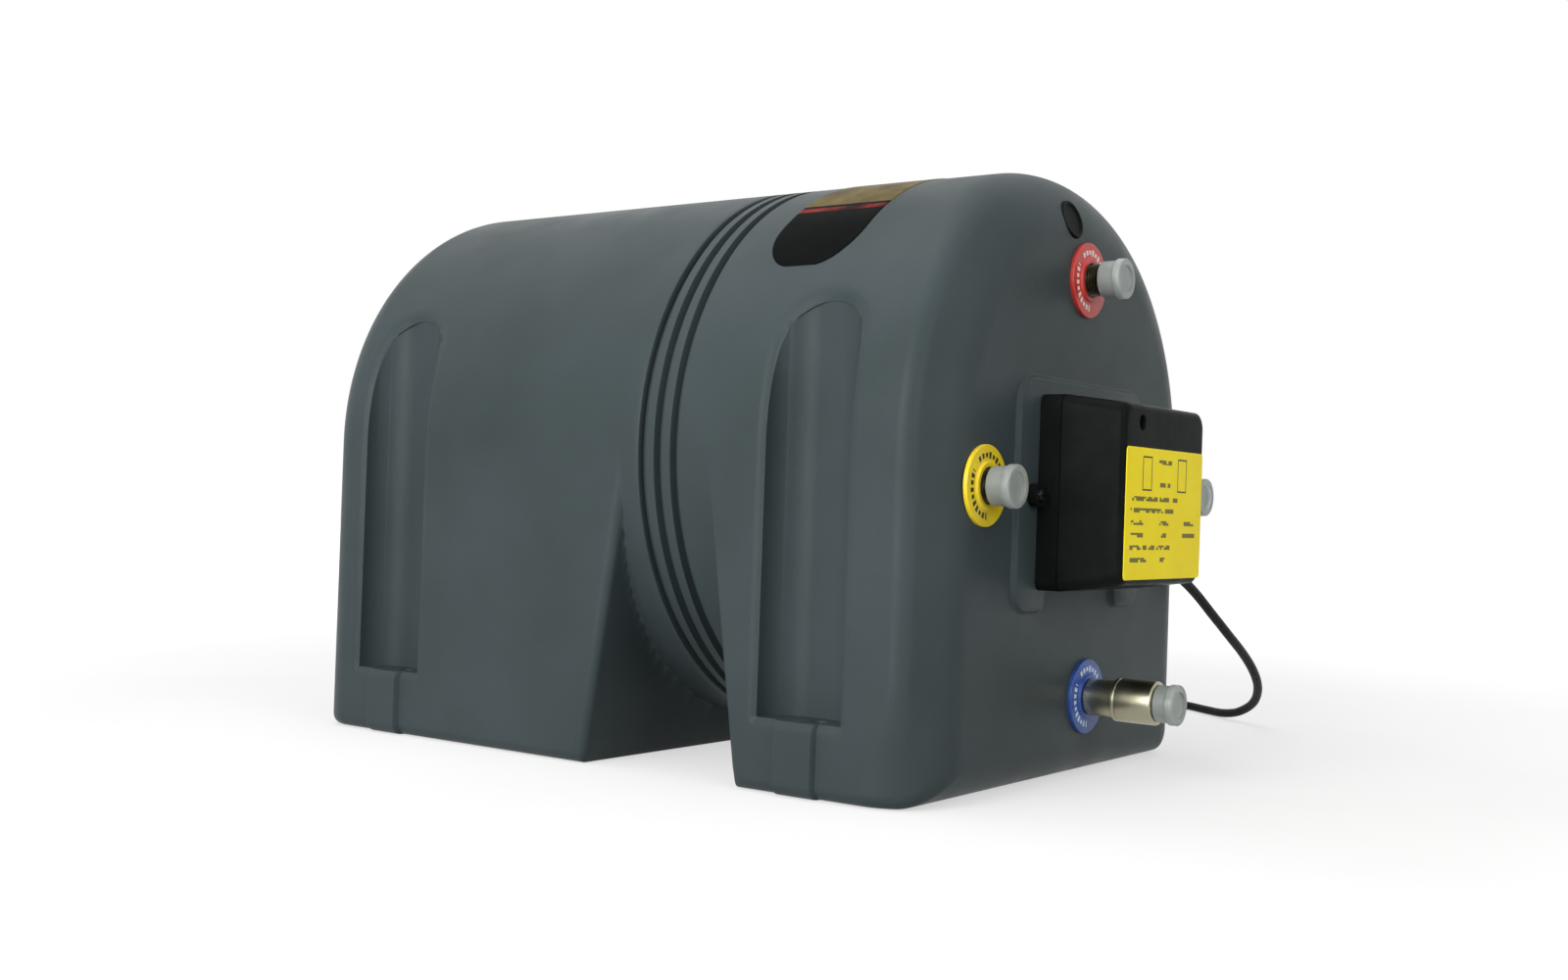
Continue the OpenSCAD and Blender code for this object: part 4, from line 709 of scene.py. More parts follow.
def gland_part():
    """Gland turned about the lead's line along x: a nut with six soft flats and a tapered ribbed boot.

    On the nut the radius is held to the flats' distance over the cosine of the angle off a flat. On the
    boot it steps in wherever a sine along x is over BOOT_RIB_FROM."""
    nut = soften([(NUT_START, 0.0), (NUT_START, NUT_R), (NUT_END, NUT_R), (NUT_END + 0.1, NUT_FACE_R)],
                 NUT_ROUND)
    along = np.arange(BOOT_START, NUT_END + BOOT_LENGTH, BOOT_STEP)
    taper = BOOT_R - BOOT_TAPER * (along - NUT_END) / BOOT_LENGTH
    rib = np.sin((along - BOOT_START) * BOOT_RIB_TURN) > BOOT_RIB_FROM
    boot = np.stack([along, taper - BOOT_RIB_DEPTH * rib], -1)
    end = soften([(BOOT_END - 0.9, 4.35), (BOOT_END, BOOT_END_R), (BOOT_END, BOOT_BORE),
                  (BOOT_BORE_END, BOOT_BORE), (BOOT_BORE_END, 0.0)], [0, 0.4, 0, 0, 0])
    profile = np.vstack([nut, boot, end])
    angle = np.linspace(0, CIRCLE, GLAND_SIDES, endpoint=False)[None, :]
    x = profile[:, :1] + 0 * angle
    radius = profile[:, 1:] + 0 * angle
    flats = NUT_FLAT / np.cos((angle + CIRCLE / 12) % (CIRCLE / 6) - CIRCLE / 12)
    radius = np.where(x < NUT_END + 0.05, np.minimum(radius, flats), radius)
    return grid(np.stack([x, GLAND_Y + radius * np.cos(angle), GLAND_Z + radius * np.sin(angle)], -1), True)


piece("gland_boot", [gland_part()], box_plastic, "cable_gland", crease=GLAND_CREASE)

# Casing
ARCH_R = 185.0  # half the casing's width too
ARCH_Z = 205.0
FRONT = -255.0
REAR = 255.0
FEET_LEAN = math.tan(math.radians(8.6))  # of the feet's inner faces
REAR_FOOT = -2.0  # where the inner face of the rear foot meets the floor
FRONT_FOOT = -123.0
SIDE_ROUND = 8.0  # of the feet's outer edges on the floor
FOOT_ROUND = 6.0  # of their upright inner edges
FOOT_BLEND = 12.0
DRUM_BLEND = 5.0
FAR_UP = 400.0  # above all of the casing, where no foot is
FULL_SECTION = 60.0  # narrower sections, in the middle of an end face, lose the round of the feet

RECESS_Y = {-1: -169.0, 1: 185.0}  # middle of the side recess at the front and at the rear
RECESS_HALF = 30.0
RECESS_X = 159.0  # its floor
RECESS_ROUND = 22.0
RECESS_TOP = 262.0  # where its round top begins
LEDGE_Z = 44.0
EDGE_DROP = 2.4  # fall of the skin towards the recess
EDGE_REACH = 6.0
EDGE_GROW = 0.7  # share by which both grow over the round top
STRIP_HALF = 15.0
STRIP_SIDE = 1.4
STRIP_ABOVE = 14.0
STRIP_FADE = 8.0
STRIP_PROUD = 3.6
OUTER_FROM = 150.0  # strip and fall belong to what is further out than this
OUTER_BLEND = 10.0

# Front end of the casing: the firm form has a fold and a facet, the soft form is a plain round
FRONT_REACH = 45.0
FRONT_FOOT_ROUND = 25.0
FACET = 25.0  # degrees that the facet leans back
FOLD_ROUND = 13.0
FOLD_BELOW = 0.1  # share of the firm form near the floor
FOLD_TOP = 15.0  # degrees off the top of the arch where the fold begins, and how many it takes
FOLD_SPREAD = 50.0
FOLD_FALL = 0.65  # share of the side's height where the fold begins to fade
REAR_REACH = 26.0
REAR_FOOT_ROUND = 8.0
FACE_SHARES = np.array([0.985, 0.95, 0.86, 0.7, 0.5, 0.3, 0.12, 0.0])

# Columns round the section, and the share of the firm form in each
ARCH_TURN = np.radians(spaced(0.0, 90.0, 1.5, (64.0, 9.0, 0.5)))
SIDE_FALL = (ARCH_Z - spaced(ARCH_Z, SIDE_ROUND, 4.0, (LEDGE_Z - 3.0, 5.0, 0.9))) / (ARCH_Z - SIDE_ROUND)
UNDER_TURN = np.radians(np.linspace(90, 0, 61))
SHARE = np.concatenate([
    ease((np.degrees(ARCH_TURN) - FOLD_TOP) / FOLD_SPREAD),
    1 - (1 - FOLD_BELOW) * ease((SIDE_FALL - FOLD_FALL) / (1 - FOLD_FALL)),
    np.full(len(UNDER_TURN), FOLD_BELOW)])


def lower_edge(x, y, section, base):
    """Height of a section's lower edge: the foot, which rises along its leaning inner face, or the drum.

    The foot's height is its distance inside the leaning face over the lean. Roundings are a radius less the
    root of the radius squared less the distance past its start squared. Where foot and drum meet, the
    lower one holds, with a round blend."""
    past = np.clip(x - (section - FOOT_ROUND), 0, FOOT_ROUND)
    bulge = FOOT_ROUND - np.sqrt(FOOT_ROUND ** 2 - past ** 2)
    rise = np.minimum(REAR_FOOT + bulge - y, y - FRONT_FOOT + bulge) / FEET_LEAN
    foot = -soft_min(-np.clip(rise, -FAR_UP, FAR_UP), -base, FOOT_BLEND)
    past = np.clip(x - (section - SIDE_ROUND), 0, SIDE_ROUND)
    round_share = np.clip(section / FULL_SECTION, 0, 1)
    foot = foot + round_share * (SIDE_ROUND - np.sqrt(SIDE_ROUND ** 2 - past ** 2))
    drum = ARCH_Z - np.sqrt(np.clip(section * section - x * x, 0, None))
    return np.maximum(soft_min(foot, drum, DRUM_BLEND), base)


def edge_drop(y, z, end):
    """Fall of the skin towards the outline of the side recess: the square of the share of its reach left."""
    off = np.abs(y - RECESS_Y[end])
    below = np.hypot(np.maximum(off - RECESS_HALF, 0), np.maximum(LEDGE_Z - z, 0))
    beside = np.where(z < RECESS_TOP, below, np.hypot(off, z - RECESS_TOP) - RECESS_HALF)
    grow = 1 + EDGE_GROW * ease((z - RECESS_TOP) / RECESS_HALF)
    return EDGE_DROP * grow * np.clip(1 - np.clip(beside, 0, None) / (EDGE_REACH * grow), 0, 1) ** 2


def casing_skin(rows, end):
    """Skin of one shell, over rows (y, section radius, height of the base) and columns round the section.

    Each row has a firm form and a soft one, and SHARE says for each column how far it follows the firm one.
    The columns run from the top of the arch down the flat side, round the lower edge and in under the
    middle, then back mirrored. The strip below the side recess stands out by a smooth step of the distance
    inside it."""
    firm, soft = rows.transpose(1, 2, 0)[..., None]
    y, section, base = soft + (firm - soft) * SHARE
    arch, side, under = np.split(np.arange(len(SHARE)), np.cumsum([len(ARCH_TURN), len(SIDE_FALL)]))
    under_x = section[:, under] * np.sin(UNDER_TURN)
    under_z = lower_edge(under_x, y[:, under], section[:, under], base[:, under])
    side_z = ARCH_Z + (under_z[:, :1] - ARCH_Z) * SIDE_FALL
    x = np.hstack([section[:, arch] * np.sin(ARCH_TURN), section[:, side], under_x])
    z = np.hstack([ARCH_Z + section[:, arch] * np.cos(ARCH_TURN), side_z, under_z])
    strip = ease((STRIP_HALF - np.abs(y - RECESS_Y[end])) / STRIP_SIDE)
    strip = strip * ease((LEDGE_Z + STRIP_ABOVE - z) / STRIP_FADE)
    outer = ease((x - OUTER_FROM) / OUTER_BLEND) * (section > OUTER_FROM)
    x = x + (STRIP_PROUD * strip - edge_drop(y, z, end)) * outer
    half = np.stack([x, y, z], -1)
    return grid(np.concatenate([half, half[:, ::-1] * (-1, 1, 1)], 1), True)


def twice(y, section, base):
    """Rows whose soft form is the firm one."""
    rows = np.stack(np.broadcast_arrays(y, section, base), -1)
    return np.stack([rows, rows], 1)


def foot_base(back, foot):
    """Height of the base at a distance behind an end face whose lower edge is a round of radius foot."""
    return foot - np.sqrt(foot ** 2 - np.maximum(foot - back, 0) ** 2)


def face_rows(y, edge, foot):
    """Rows across the flat face of an end, from its edge in even scale to its middle."""
    return twice(y, edge * FACE_SHARES, ARCH_Z - (ARCH_Z - foot) * FACE_SHARES)


def rear_rows():
    """Rows over the rear end: a quarter circle of radius REAR_REACH, then across the flat face."""
    turn = np.radians(np.linspace(0, 90, 19))
    back = REAR_REACH * (1 - np.sin(turn))
    section = ARCH_R - REAR_REACH * (1 - np.cos(turn))
    edge = twice(REAR - back, section, foot_base(back, REAR_FOOT_ROUND))
    return np.concatenate([edge, face_rows(REAR, ARCH_R - REAR_REACH, REAR_FOOT_ROUND)])


def front_round(lean):
    """Distance behind the front face and section radius where the front's round leans back by an angle."""
    return np.stack([FRONT_REACH * (1 - np.cos(lean)), ARCH_R - FRONT_REACH * (1 - np.sin(lean))], -1)


def front_rows():
    """Rows over the front end: a tight fold from the side, a facet that leans back by FACET, a round run
    of radius FRONT_REACH out into the flat face, then across that face. The soft form has that round
    from the side on."""
    lean = np.radians(FACET)
    run = front_round(np.linspace(lean, 0, 9))
    corner = run[0, 0] + (ARCH_R - run[0, 1]) * math.tan(lean)
    fold = soften([(FRONT_REACH, ARCH_R), (corner, ARCH_R), run[0]], FOLD_ROUND, steps=13)[1:-1]
    facet = fold[-1] + (run[0] - fold[-1]) * np.linspace(0, 1, 10)[1:-1, None]
    firm = np.vstack([fold, facet, run])
    soft = np.vstack([front_round(np.linspace(CIRCLE / 4, lean, len(firm) - len(run) + 1)[:-1]), run])
    edge = [np.stack([FRONT + back, section, foot_base(back, FRONT_FOOT_ROUND)], -1)
            for back, section in (firm.T, soft.T)]
    return np.concatenate([np.stack(edge, 1), face_rows(FRONT, ARCH_R - FRONT_REACH, FRONT_FOOT_ROUND)])


# Waist of the casing: where the shells meet, and the two open grooves in front of that
LAP_R = 179.8
REAR_INNER = -36.0  # faces that close the shells inside
FRONT_INNER = -37.0
INNER_HALF = 90.0  # radius of a row half way out on them
REAR_EDGE = -41.5
FRONT_EDGE = -47.5
EDGE_SOFT = 1.2  # reach of the rounded edge, and what its middle stands back
EDGE_BACK = 0.35
GROOVES = (-57.5, -70.5)
GROOVE_HALF = 3.3
GROOVE_SIDE = 0.8
GROOVE_DEPTH = 5.2
GROOVE_ROW = 0.5
GROOVES_END = -76.0
ROW_GAP = 5.0  # between rows where nothing changes
ROW_CLEAR = 0.1
STRIP_CLOSE = (14.0, 4.0)  # off the recess's middle and half width of the places with close rows
RECESS_CLOSE = (33.0, 5.0)
CLOSE_GAP = 0.8
REAR_FOOT_CLOSE = (-16.0, 16.0, 1.2)
FRONT_FOOT_CLOSE = (-108.0, 18.0, 1.3)


def waist_rows(inner, edge, way):
    """Rows from the middle of a shell's inner face out to its lap, along that, and up its rounded edge."""
    y = [inner, inner, inner, edge, edge, edge + way * EDGE_BACK]
    section = [0.0, INNER_HALF, LAP_R, LAP_R, ARCH_R - EDGE_SOFT, ARCH_R - EDGE_BACK]
    return twice(y, section, 0.0)


def groove(y):
    """Depth of the two open grooves at place y, each a smooth step of the distance inside it."""
    return GROOVE_DEPTH * sum(ease((GROOVE_HALF - np.abs(y - middle)) / GROOVE_SIDE) for middle in GROOVES)


def close_rows(end):
    """Places where the rows lie close, at the sides of the strip and of the recess."""
    return [(RECESS_Y[end] + side * off, half, CLOSE_GAP) for side in (-1, 1)
            for off, half in (STRIP_CLOSE, RECESS_CLOSE)]


# Side recesses and their fixing holes
SCOOP_OUT = 240.0
BOLT_X = 172.0
BOLT_Y = 177.0
BOLT_R = 4.5
BOLT_SIDES = 32
BOLT_LIP = 0.9  # radius that the lip of a hole adds
HOLE_STEPS = (  # height and radius up a hole
    (-3.0, 0.0), (-3.0, BOLT_R), (LEDGE_Z - 6.0, BOLT_R), (LEDGE_Z - 0.8, BOLT_R),
    (LEDGE_Z + 0.6, BOLT_R + BOLT_LIP), (LEDGE_Z + 26.0, BOLT_R + BOLT_LIP), (LEDGE_Z + 26.0, 0.0))


def end_cuts(end):
    """Scoops of the two side recesses of one end, and the bars of their fixing holes.

    A scoop has a flat ledge below, a round top seen from the side and, seen from above, a floor that
    curves out to both sides by a quarter circle."""
    scoops, bars = [], []
    off = RECESS_HALF * np.sin(np.radians(np.linspace(-90, 90, 73)))
    past = np.clip(np.abs(off) - (RECESS_HALF - RECESS_ROUND), 0, RECESS_ROUND)
    floor = RECESS_X + RECESS_ROUND - np.sqrt(RECESS_ROUND ** 2 - past ** 2)
    top = RECESS_TOP + np.sqrt(np.clip(RECESS_HALF ** 2 - off ** 2, 0, None))
    out = np.full_like(off, SCOOP_OUT)
    ledge = np.full_like(off, LEDGE_Z)
    turn = np.linspace(0, CIRCLE, BOLT_SIDES, endpoint=False)[None, :]
    height, radius = np.array(HOLE_STEPS).T[..., None]
    for side in (-1, 1):
        corners = [np.stack([side * x, RECESS_Y[end] + off, z], -1)
                   for x, z in ((floor, ledge), (floor, top), (out, top), (out, ledge))]
        scoops.append(capped(np.stack(corners, 1)))
        x = side * BOLT_X + radius * np.cos(turn)
        y = end * BOLT_Y + radius * np.sin(turn)
        bars.append(grid(np.stack([x, y, height + 0 * turn], -1), True))
    return scoops, bars


def rear_casing():
    """Rear shell: the skin from the waist to the rear end, with the side recesses and fixing holes cut in."""
    y = spaced(REAR_EDGE + EDGE_SOFT, REAR - REAR_REACH - ROW_CLEAR, ROW_GAP, REAR_FOOT_CLOSE, *close_rows(1))
    rows = np.concatenate([waist_rows(REAR_INNER, REAR_EDGE, 1), twice(y, ARCH_R, 0.0), rear_rows()])
    scoops, bars = end_cuts(1)
    return cut(cut(mesh_of("rear_skin", [casing_skin(rows, 1)]), scoops), bars)


# Seat of the terminal box on the front
PANEL_OUTLINE = np.array([(-88, 110), (-50, 110), (-50, 123), (50, 123), (50, 110), (88, 110), (88, 253),
                          (-88, 253)])
PANEL_ROUNDS = np.array([14.0, 6.0, 5.0, 5.0, 6.0, 14.0, 18.0, 18.0])
PANEL_BENDS = np.array([1, 1, -1, -1, 1, 1, 1, 1])  # -1 at the notch's inner corners
PANEL_NOTCH = 60.0  # points nearer to the middle belong to the notch
PANEL_MIDDLE = 200.0
PANEL_STEPS = (  # place in front of the face, and growth of the outline there
    (-0.2, 2.4), (0.1, 1.6), (0.7, 0.7), (1.6, 0.15), (2.2, -0.1), (2.7, -0.6), (3.0, -1.4))


def panel_part():
    """Raised seat of the terminal box: an outline with a notch in its lower edge, stepped in as it rises."""
    x, z = PANEL_OUTLINE.T
    way_x = np.sign(x) * np.where(np.abs(x) < PANEL_NOTCH, -1, 1)
    ways = np.stack([way_x, np.where(z > PANEL_MIDDLE, 1, -1)], -1)
    rings = []
    for ahead, out in PANEL_STEPS:
        rounds = np.maximum(PANEL_ROUNDS + PANEL_BENDS * out, 1.0)
        rings.append(upright(soften(PANEL_OUTLINE + ways * out, rounds, True, 8), FRONT - ahead))
    return capped(np.stack(rings))


# Filling plug on the front rounding
FILLER_SWING = math.radians(-7.0)  # off the top, to the left
FILLER_TILT = math.radians(-17.0)
FILLER_R = 12.5
FILLER_SEAT_R = 12.8
FILLER_DEPTH = 2.5
FILLER_AHEAD = 20.0  # how far its seat is cut free in front
FILLER_RIM = -0.2  # front of the rim, and of the dished face at its edge and in its middle
DISH_EDGE = 0.9
DISH_MIDDLE = 0.7
FILLER_RIM_R = 10.4  # inside of the rim at its front, and at the dished face
FILLER_DISH_R = 9.8
FILLER_SIDES = 64


def on_rounding(part):
    """Part built about the y axis, carried onto the front rounding where the filling plug sits.

    It is tilted about the middle of the rounding's section at the top, then swung about the arch's line."""
    points, faces = part
    c, s = math.cos(FILLER_TILT), math.sin(FILLER_TILT)
    tilt = np.array([[1, 0, 0], [0, c, -s], [0, s, c]])
    c, s = math.cos(FILLER_SWING), math.sin(FILLER_SWING)
    swing = np.array([[c, 0, s], [0, 1, 0], [-s, 0, c]])
    points = (points - (0, FRONT_REACH, 0)) @ tilt.T + (0, FRONT + FRONT_REACH, ARCH_R - FRONT_REACH)
    return points @ swing.T + (0, 0, ARCH_Z), faces


def front_casing():
    """Front shell: the skin from the waist over the grooves to the front end, cut for the side recesses, the
    fixing holes and the filling plug, with the seat of the terminal box on it."""
    near = np.arange(FRONT_EDGE - EDGE_SOFT, GROOVES_END, -GROOVE_ROW)
    far = spaced(GROOVES_END - GROOVE_ROW, FRONT + FRONT_REACH + ROW_CLEAR, ROW_GAP, FRONT_FOOT_CLOSE,
                 *close_rows(-1))
    rows = np.concatenate([waist_rows(FRONT_INNER, FRONT_EDGE, -1), twice(near, ARCH_R - groove(near), 0.0),
                           twice(far, ARCH_R, 0.0), front_rows()])
    floor = FILLER_DEPTH + 0.1
    bore = [(-FILLER_AHEAD, 0.0), (-FILLER_AHEAD, FILLER_SEAT_R), (floor, FILLER_SEAT_R), (floor, 0.0)]
    seat = on_rounding(lathe(bore, sides=FILLER_SIDES))
    scoops, bars = end_cuts(-1)
    mesh = mesh_of("front_skin", [casing_skin(rows, -1)])
    return joined(cut(cut(mesh, scoops + [seat]), bars), [panel_part()])


def filler_part():
    """Filling plug: a disc with a raised, rounded rim round its dished face."""
    profile = soften([(FILLER_DEPTH, 0.0), (FILLER_DEPTH, FILLER_R), (FILLER_RIM, FILLER_R),
                      (FILLER_RIM, FILLER_RIM_R), (DISH_EDGE, FILLER_DISH_R), (DISH_MIDDLE, 0.0)],
                     [0, 0, 0.7, 0.5, 0.5, 0])
    return on_rounding(lathe(profile, sides=FILLER_SIDES))


piece("rear_skin", rear_casing(), casing_plastic, "rear_shell")
piece("front_skin", front_casing(), casing_plastic, "front_shell")
piece("filler_cap", [filler_part()], box_plastic, "filling_plug")

# Badge over the arch
BADGE_END = ARCH_R * math.sin(math.radians(53.0))
BADGE_Y = -134.0
BADGE_HALF = 33.0
BADGE_ROUND = 24.0
BADGE_PROUD = 0.45
BADGE_SUNK = -0.4
BADGE_RIM = np.array([-1.0, -0.995, -0.98])  # places across the half width
BADGE_RIM_LIFT = np.array([BADGE_SUNK, 0.2, 0.4])
BADGE_COLUMNS = 15


def badge_part():
    """Badge wrapped over the arch: the place across it is scaled by the half width of a rounded rectangle in
    plan, and the radius is the arch's with the film's lift, which turns down at the rim."""
    x = BADGE_END * np.sin(np.radians(np.linspace(-90, 90, 121)))[:, None]
    past = np.clip(np.abs(x) - (BADGE_END - BADGE_ROUND), 0, BADGE_ROUND)
    half = BADGE_HALF - BADGE_ROUND + np.sqrt(BADGE_ROUND ** 2 - past ** 2)
    top = np.concatenate([BADGE_RIM, np.linspace(-0.95, 0.95, BADGE_COLUMNS), -BADGE_RIM[::-1]])
    across = np.concatenate([top, top[::-1]])[None, :]
    lift = np.concatenate([BADGE_RIM_LIFT, np.full(BADGE_COLUMNS, BADGE_PROUD), BADGE_RIM_LIFT[::-1],
                           np.full(len(top), BADGE_SUNK)])[None, :]
    lift = np.minimum(lift, np.where(np.abs(x) > BADGE_END - 0.05, BADGE_SUNK, BADGE_PROUD))
    angle = np.arcsin(np.clip(x / ARCH_R, -1, 1))
    radius = ARCH_R + lift
    y = BADGE_Y + across * half
    return grid(np.stack([radius * np.sin(angle), y, ARCH_Z + radius * np.cos(angle)], -1), True)


piece("badge_film", [badge_part()], badge_film, "badge_plate")

# Water fittings: middle (x, z) of each on the front
HOT = (0.0, 320.0)
LEFT = (-126.0, 185.0)
RIGHT = (126.0, 185.0)
COLD = (16.0, 53.0)

# Pipe ends, half-inch pipe thread
THREAD_R = 10.48
THREAD_PITCH = 1.814
THREAD_DEPTH = 1.16
THREAD_ROW = 0.3
THREAD_CLEAR = 0.01  # bare at both ends
TIP_R = 9.0
TIP_RISE = 0.8  # radius that the chamfer gains per millimetre
TIP_BORE = 3.0  # depth of the bore that the threaded part has itself
PIPE_BORE = 8.0
PIPE_SIDES = 56
PIPE_FRONT = FRONT + 1.0
PIPE_BACK = -178.0
PIPE_CREASE = 50
HOT_TIP = -279.0
LEFT_TIP = -274.0
RIGHT_TIP = -286.0
COLD_TIP = -279.0


def thread(tip, back, bore, centre):
    """Threaded pipe end: the radius falls and rises once per pitch along a right-handed helix, stays below a
    chamfer that starts at TIP_R, and never gets below the bore."""
    def helix(angle, y, radius):
        turn = (y / THREAD_PITCH + angle / CIRCLE) % 1
        depth = THREAD_DEPTH * (1 - np.abs(2 * turn - 1))
        outside = radius > bore + 1
        fall = np.where(outside & (y > tip + THREAD_CLEAR) & (y < back - THREAD_CLEAR), depth, 0)
        chamfer = np.where(outside, TIP_R + (y - tip) * TIP_RISE, radius)
        return np.maximum(np.minimum(radius - fall, chamfer), bore)
    along = np.append(np.arange(tip + 2 * THREAD_CLEAR, back, THREAD_ROW), back)
    start = [(tip + TIP_BORE, bore), (tip, bore), (tip, TIP_R)]
    rows = np.stack([along, np.full_like(along, THREAD_R)], -1)
    return lathe(np.vstack([start, rows]), centre, PIPE_SIDES, helix)


def nipple(name, tip, centre, node):
    """Brass nipple: threaded end, plain pipe back into the tank, bored through."""
    plain = [(PIPE_FRONT, THREAD_R), (PIPE_BACK, THREAD_R), (PIPE_BACK, PIPE_BORE),
             (tip + TIP_BORE, PIPE_BORE)]
    parts = [thread(tip, PIPE_FRONT, PIPE_BORE, centre), lathe(plain, centre, PIPE_SIDES)]
    # the pipes' dark brown is a painted dark reflection
    piece(name, parts, pipe_painted_reflection, node, crease=PIPE_CREASE)


# Colour collars
COLLAR_R = 24.0
COLLAR_FRONT = FRONT - 2.5
COLLAR_BORE = 10.9
HUB_FRONT = FRONT - 4.0
HUB_FOOT_R = 14.4
HUB_R = 13.6
COLLAR_SIDES = 96


def collar(name, centre, mat, node):
    """Colour collar: a thin disc with a raised hub, turned from a profile with rounded edges."""
    profile = soften([(FRONT, COLLAR_R), (COLLAR_FRONT, COLLAR_R), (COLLAR_FRONT, HUB_FOOT_R),
                      (HUB_FRONT, HUB_R), (HUB_FRONT, COLLAR_BORE), (FRONT, COLLAR_BORE)],
                     [0, 0.7, 0.5, 0.5, 0.3, 0])
    piece(name, [lathe(loop(profile), centre, COLLAR_SIDES)], mat, node)


# Transport caps
CAP_AHEAD = 3.8  # end of a cap in front of the pipe's tip
CAP_BORE = 10.95
SLEEVE_R = 11.7
SLEEVE_FLARE = 0.1
RIM_R = 12.9
RIM_LENGTH = 5.0
DISH_R = 8.6
DISH_DEPTH = 1.7
CAP_FLOOR = 3.0  # inner face behind the end
HOT_CAP_BASE = -267.4  # open end of each cap
ENGINE_CAP_BASE = -262.4
COLD_CAP_BASE = -306.8


def cap(name, tip, base, centre, node, body):
    """Transport cap turned from one profile: a sleeve with a rim round its dished end, and its bore."""
    end = tip - CAP_AHEAD
    rim = end + RIM_LENGTH
    dish = end + DISH_DEPTH
    floor = end + CAP_FLOOR
    outer = soften([(base, CAP_BORE), (base, SLEEVE_R), (rim + 0.8, SLEEVE_R + SLEEVE_FLARE), (rim, RIM_R),
                    (end, RIM_R - 0.1), (end, DISH_R), (dish, DISH_R - 0.6), (dish, 0.0)],
                   [0.2, 0.4, 0.8, 0.8, 1.0, 0.6, 0.4, 0])
    inner = soften([(floor, 0.0), (floor, CAP_BORE - 0.05), (base, CAP_BORE)], [0, 0.6, 0])
    profile = np.vstack([outer[::-1], inner[::-1]])
    piece(name, [lathe(profile, centre)], cap_plastic, node, body)


# Check valve on the cold inlet
VALVE_BACK = -259.4
VALVE_NECK_R = 11.8
VALVE_NECK_BORE = 10.6
VALVE_RING_BACK = -278.5
VALVE_RING_FRONT = -281.1
VALVE_RING_R = 13.8
VALVE_BARREL_BACK = -281.8
VALVE_BARREL_R = 13.9
VALVE_BORE = 9.68
VALVE_SEAT = -302.4
VALVE_FRONT = -306.4
SPOUT_BORE = 6.5
SPOUT_FOOT_R = 10.3
SPOUT_BACK = VALVE_FRONT + 0.1
SPOUT_TIP = -316.4
VALVE_SIDES = 96


def valve_part():
    """Check valve body: neck, ring, barrel and stepped bore turned about the cold inlet's line, with a
    threaded spout in front."""
    outer = soften([(VALVE_BACK, VALVE_NECK_BORE), (VALVE_BACK, VALVE_NECK_R),
                    (VALVE_RING_BACK + 0.3, VALVE_NECK_R), (VALVE_RING_BACK, VALVE_RING_R),
                    (VALVE_RING_FRONT, VALVE_RING_R), (VALVE_RING_FRONT - 0.3, VALVE_RING_R - 0.6),
                    (VALVE_BARREL_BACK, VALVE_BARREL_R), (VALVE_FRONT + 0.5, VALVE_BARREL_R),
                    (VALVE_FRONT, VALVE_BARREL_R - 1.5), (VALVE_FRONT, SPOUT_FOOT_R)],
                   [0, 0.5, 0.2, 0.5, 0.5, 0.2, 0.6, 1.4, 0.5, 0])
    inner = [(VALVE_FRONT, SPOUT_FOOT_R), (VALVE_FRONT, SPOUT_BORE), (VALVE_SEAT, SPOUT_BORE),
             (VALVE_SEAT, VALVE_BORE), (VALVE_BARREL_BACK, VALVE_BORE), (VALVE_BARREL_BACK, VALVE_NECK_BORE),
             (VALVE_BACK, VALVE_NECK_BORE)]
    lining = [(SPOUT_BACK, THREAD_R), (SPOUT_BACK, SPOUT_BORE), (SPOUT_TIP + TIP_BORE, SPOUT_BORE)]
    return [lathe(np.vstack([outer, inner]), COLD, VALVE_SIDES),
            thread(SPOUT_TIP, SPOUT_BACK, SPOUT_BORE, COLD), lathe(lining, COLD, PIPE_SIDES)]


# The print of a collar is centred on it, so each collar has a material of its own
YELLOW = ("dabd14", "e6cc20")
YELLOW_INK = "2a2716"
red_collar = collar_finish("moulded_red_collar", ("b02c28", "c23a32"), "e8cfc9", HOT)
left_collar = collar_finish("moulded_yellow_collar_left", YELLOW, YELLOW_INK, LEFT)
right_collar = collar_finish("moulded_yellow_collar_right", YELLOW, YELLOW_INK, RIGHT)
blue_collar = collar_finish("moulded_blue_collar", ("1d3f85", "294f9b"), "b9cbe8", COLD)
collar("ring_hot", HOT, red_collar, "hot_collar")
collar("ring_engine_left", LEFT, left_collar, "engine_collar_left")
collar("ring_engine_right", RIGHT, right_collar, "engine_collar_right")
collar("ring_cold", COLD, blue_collar, "cold_collar")
nipple("pipe_hot", HOT_TIP, HOT, "hot_outlet")
nipple("pipe_engine_left", LEFT_TIP, LEFT, "engine_port_left")
nipple("pipe_engine_right", RIGHT_TIP, RIGHT, "engine_port_right")
nipple("pipe_cold", COLD_TIP, COLD, "cold_inlet")
piece("check_valve", valve_part(), valve_nickel, "valve_body", crease=PIPE_CREASE)
cap("cap_on_hot", HOT_TIP, HOT_CAP_BASE, HOT, "hot_cap", "cap_hot")
cap("cap_on_left", LEFT_TIP, ENGINE_CAP_BASE, LEFT, "engine_cap_left", "cap_left")
cap("cap_on_right", RIGHT_TIP, ENGINE_CAP_BASE, RIGHT, "engine_cap_right", "cap_right")
cap("cap_on_cold", SPOUT_TIP, COLD_CAP_BASE, COLD, "cold_cap", "cap_cold")

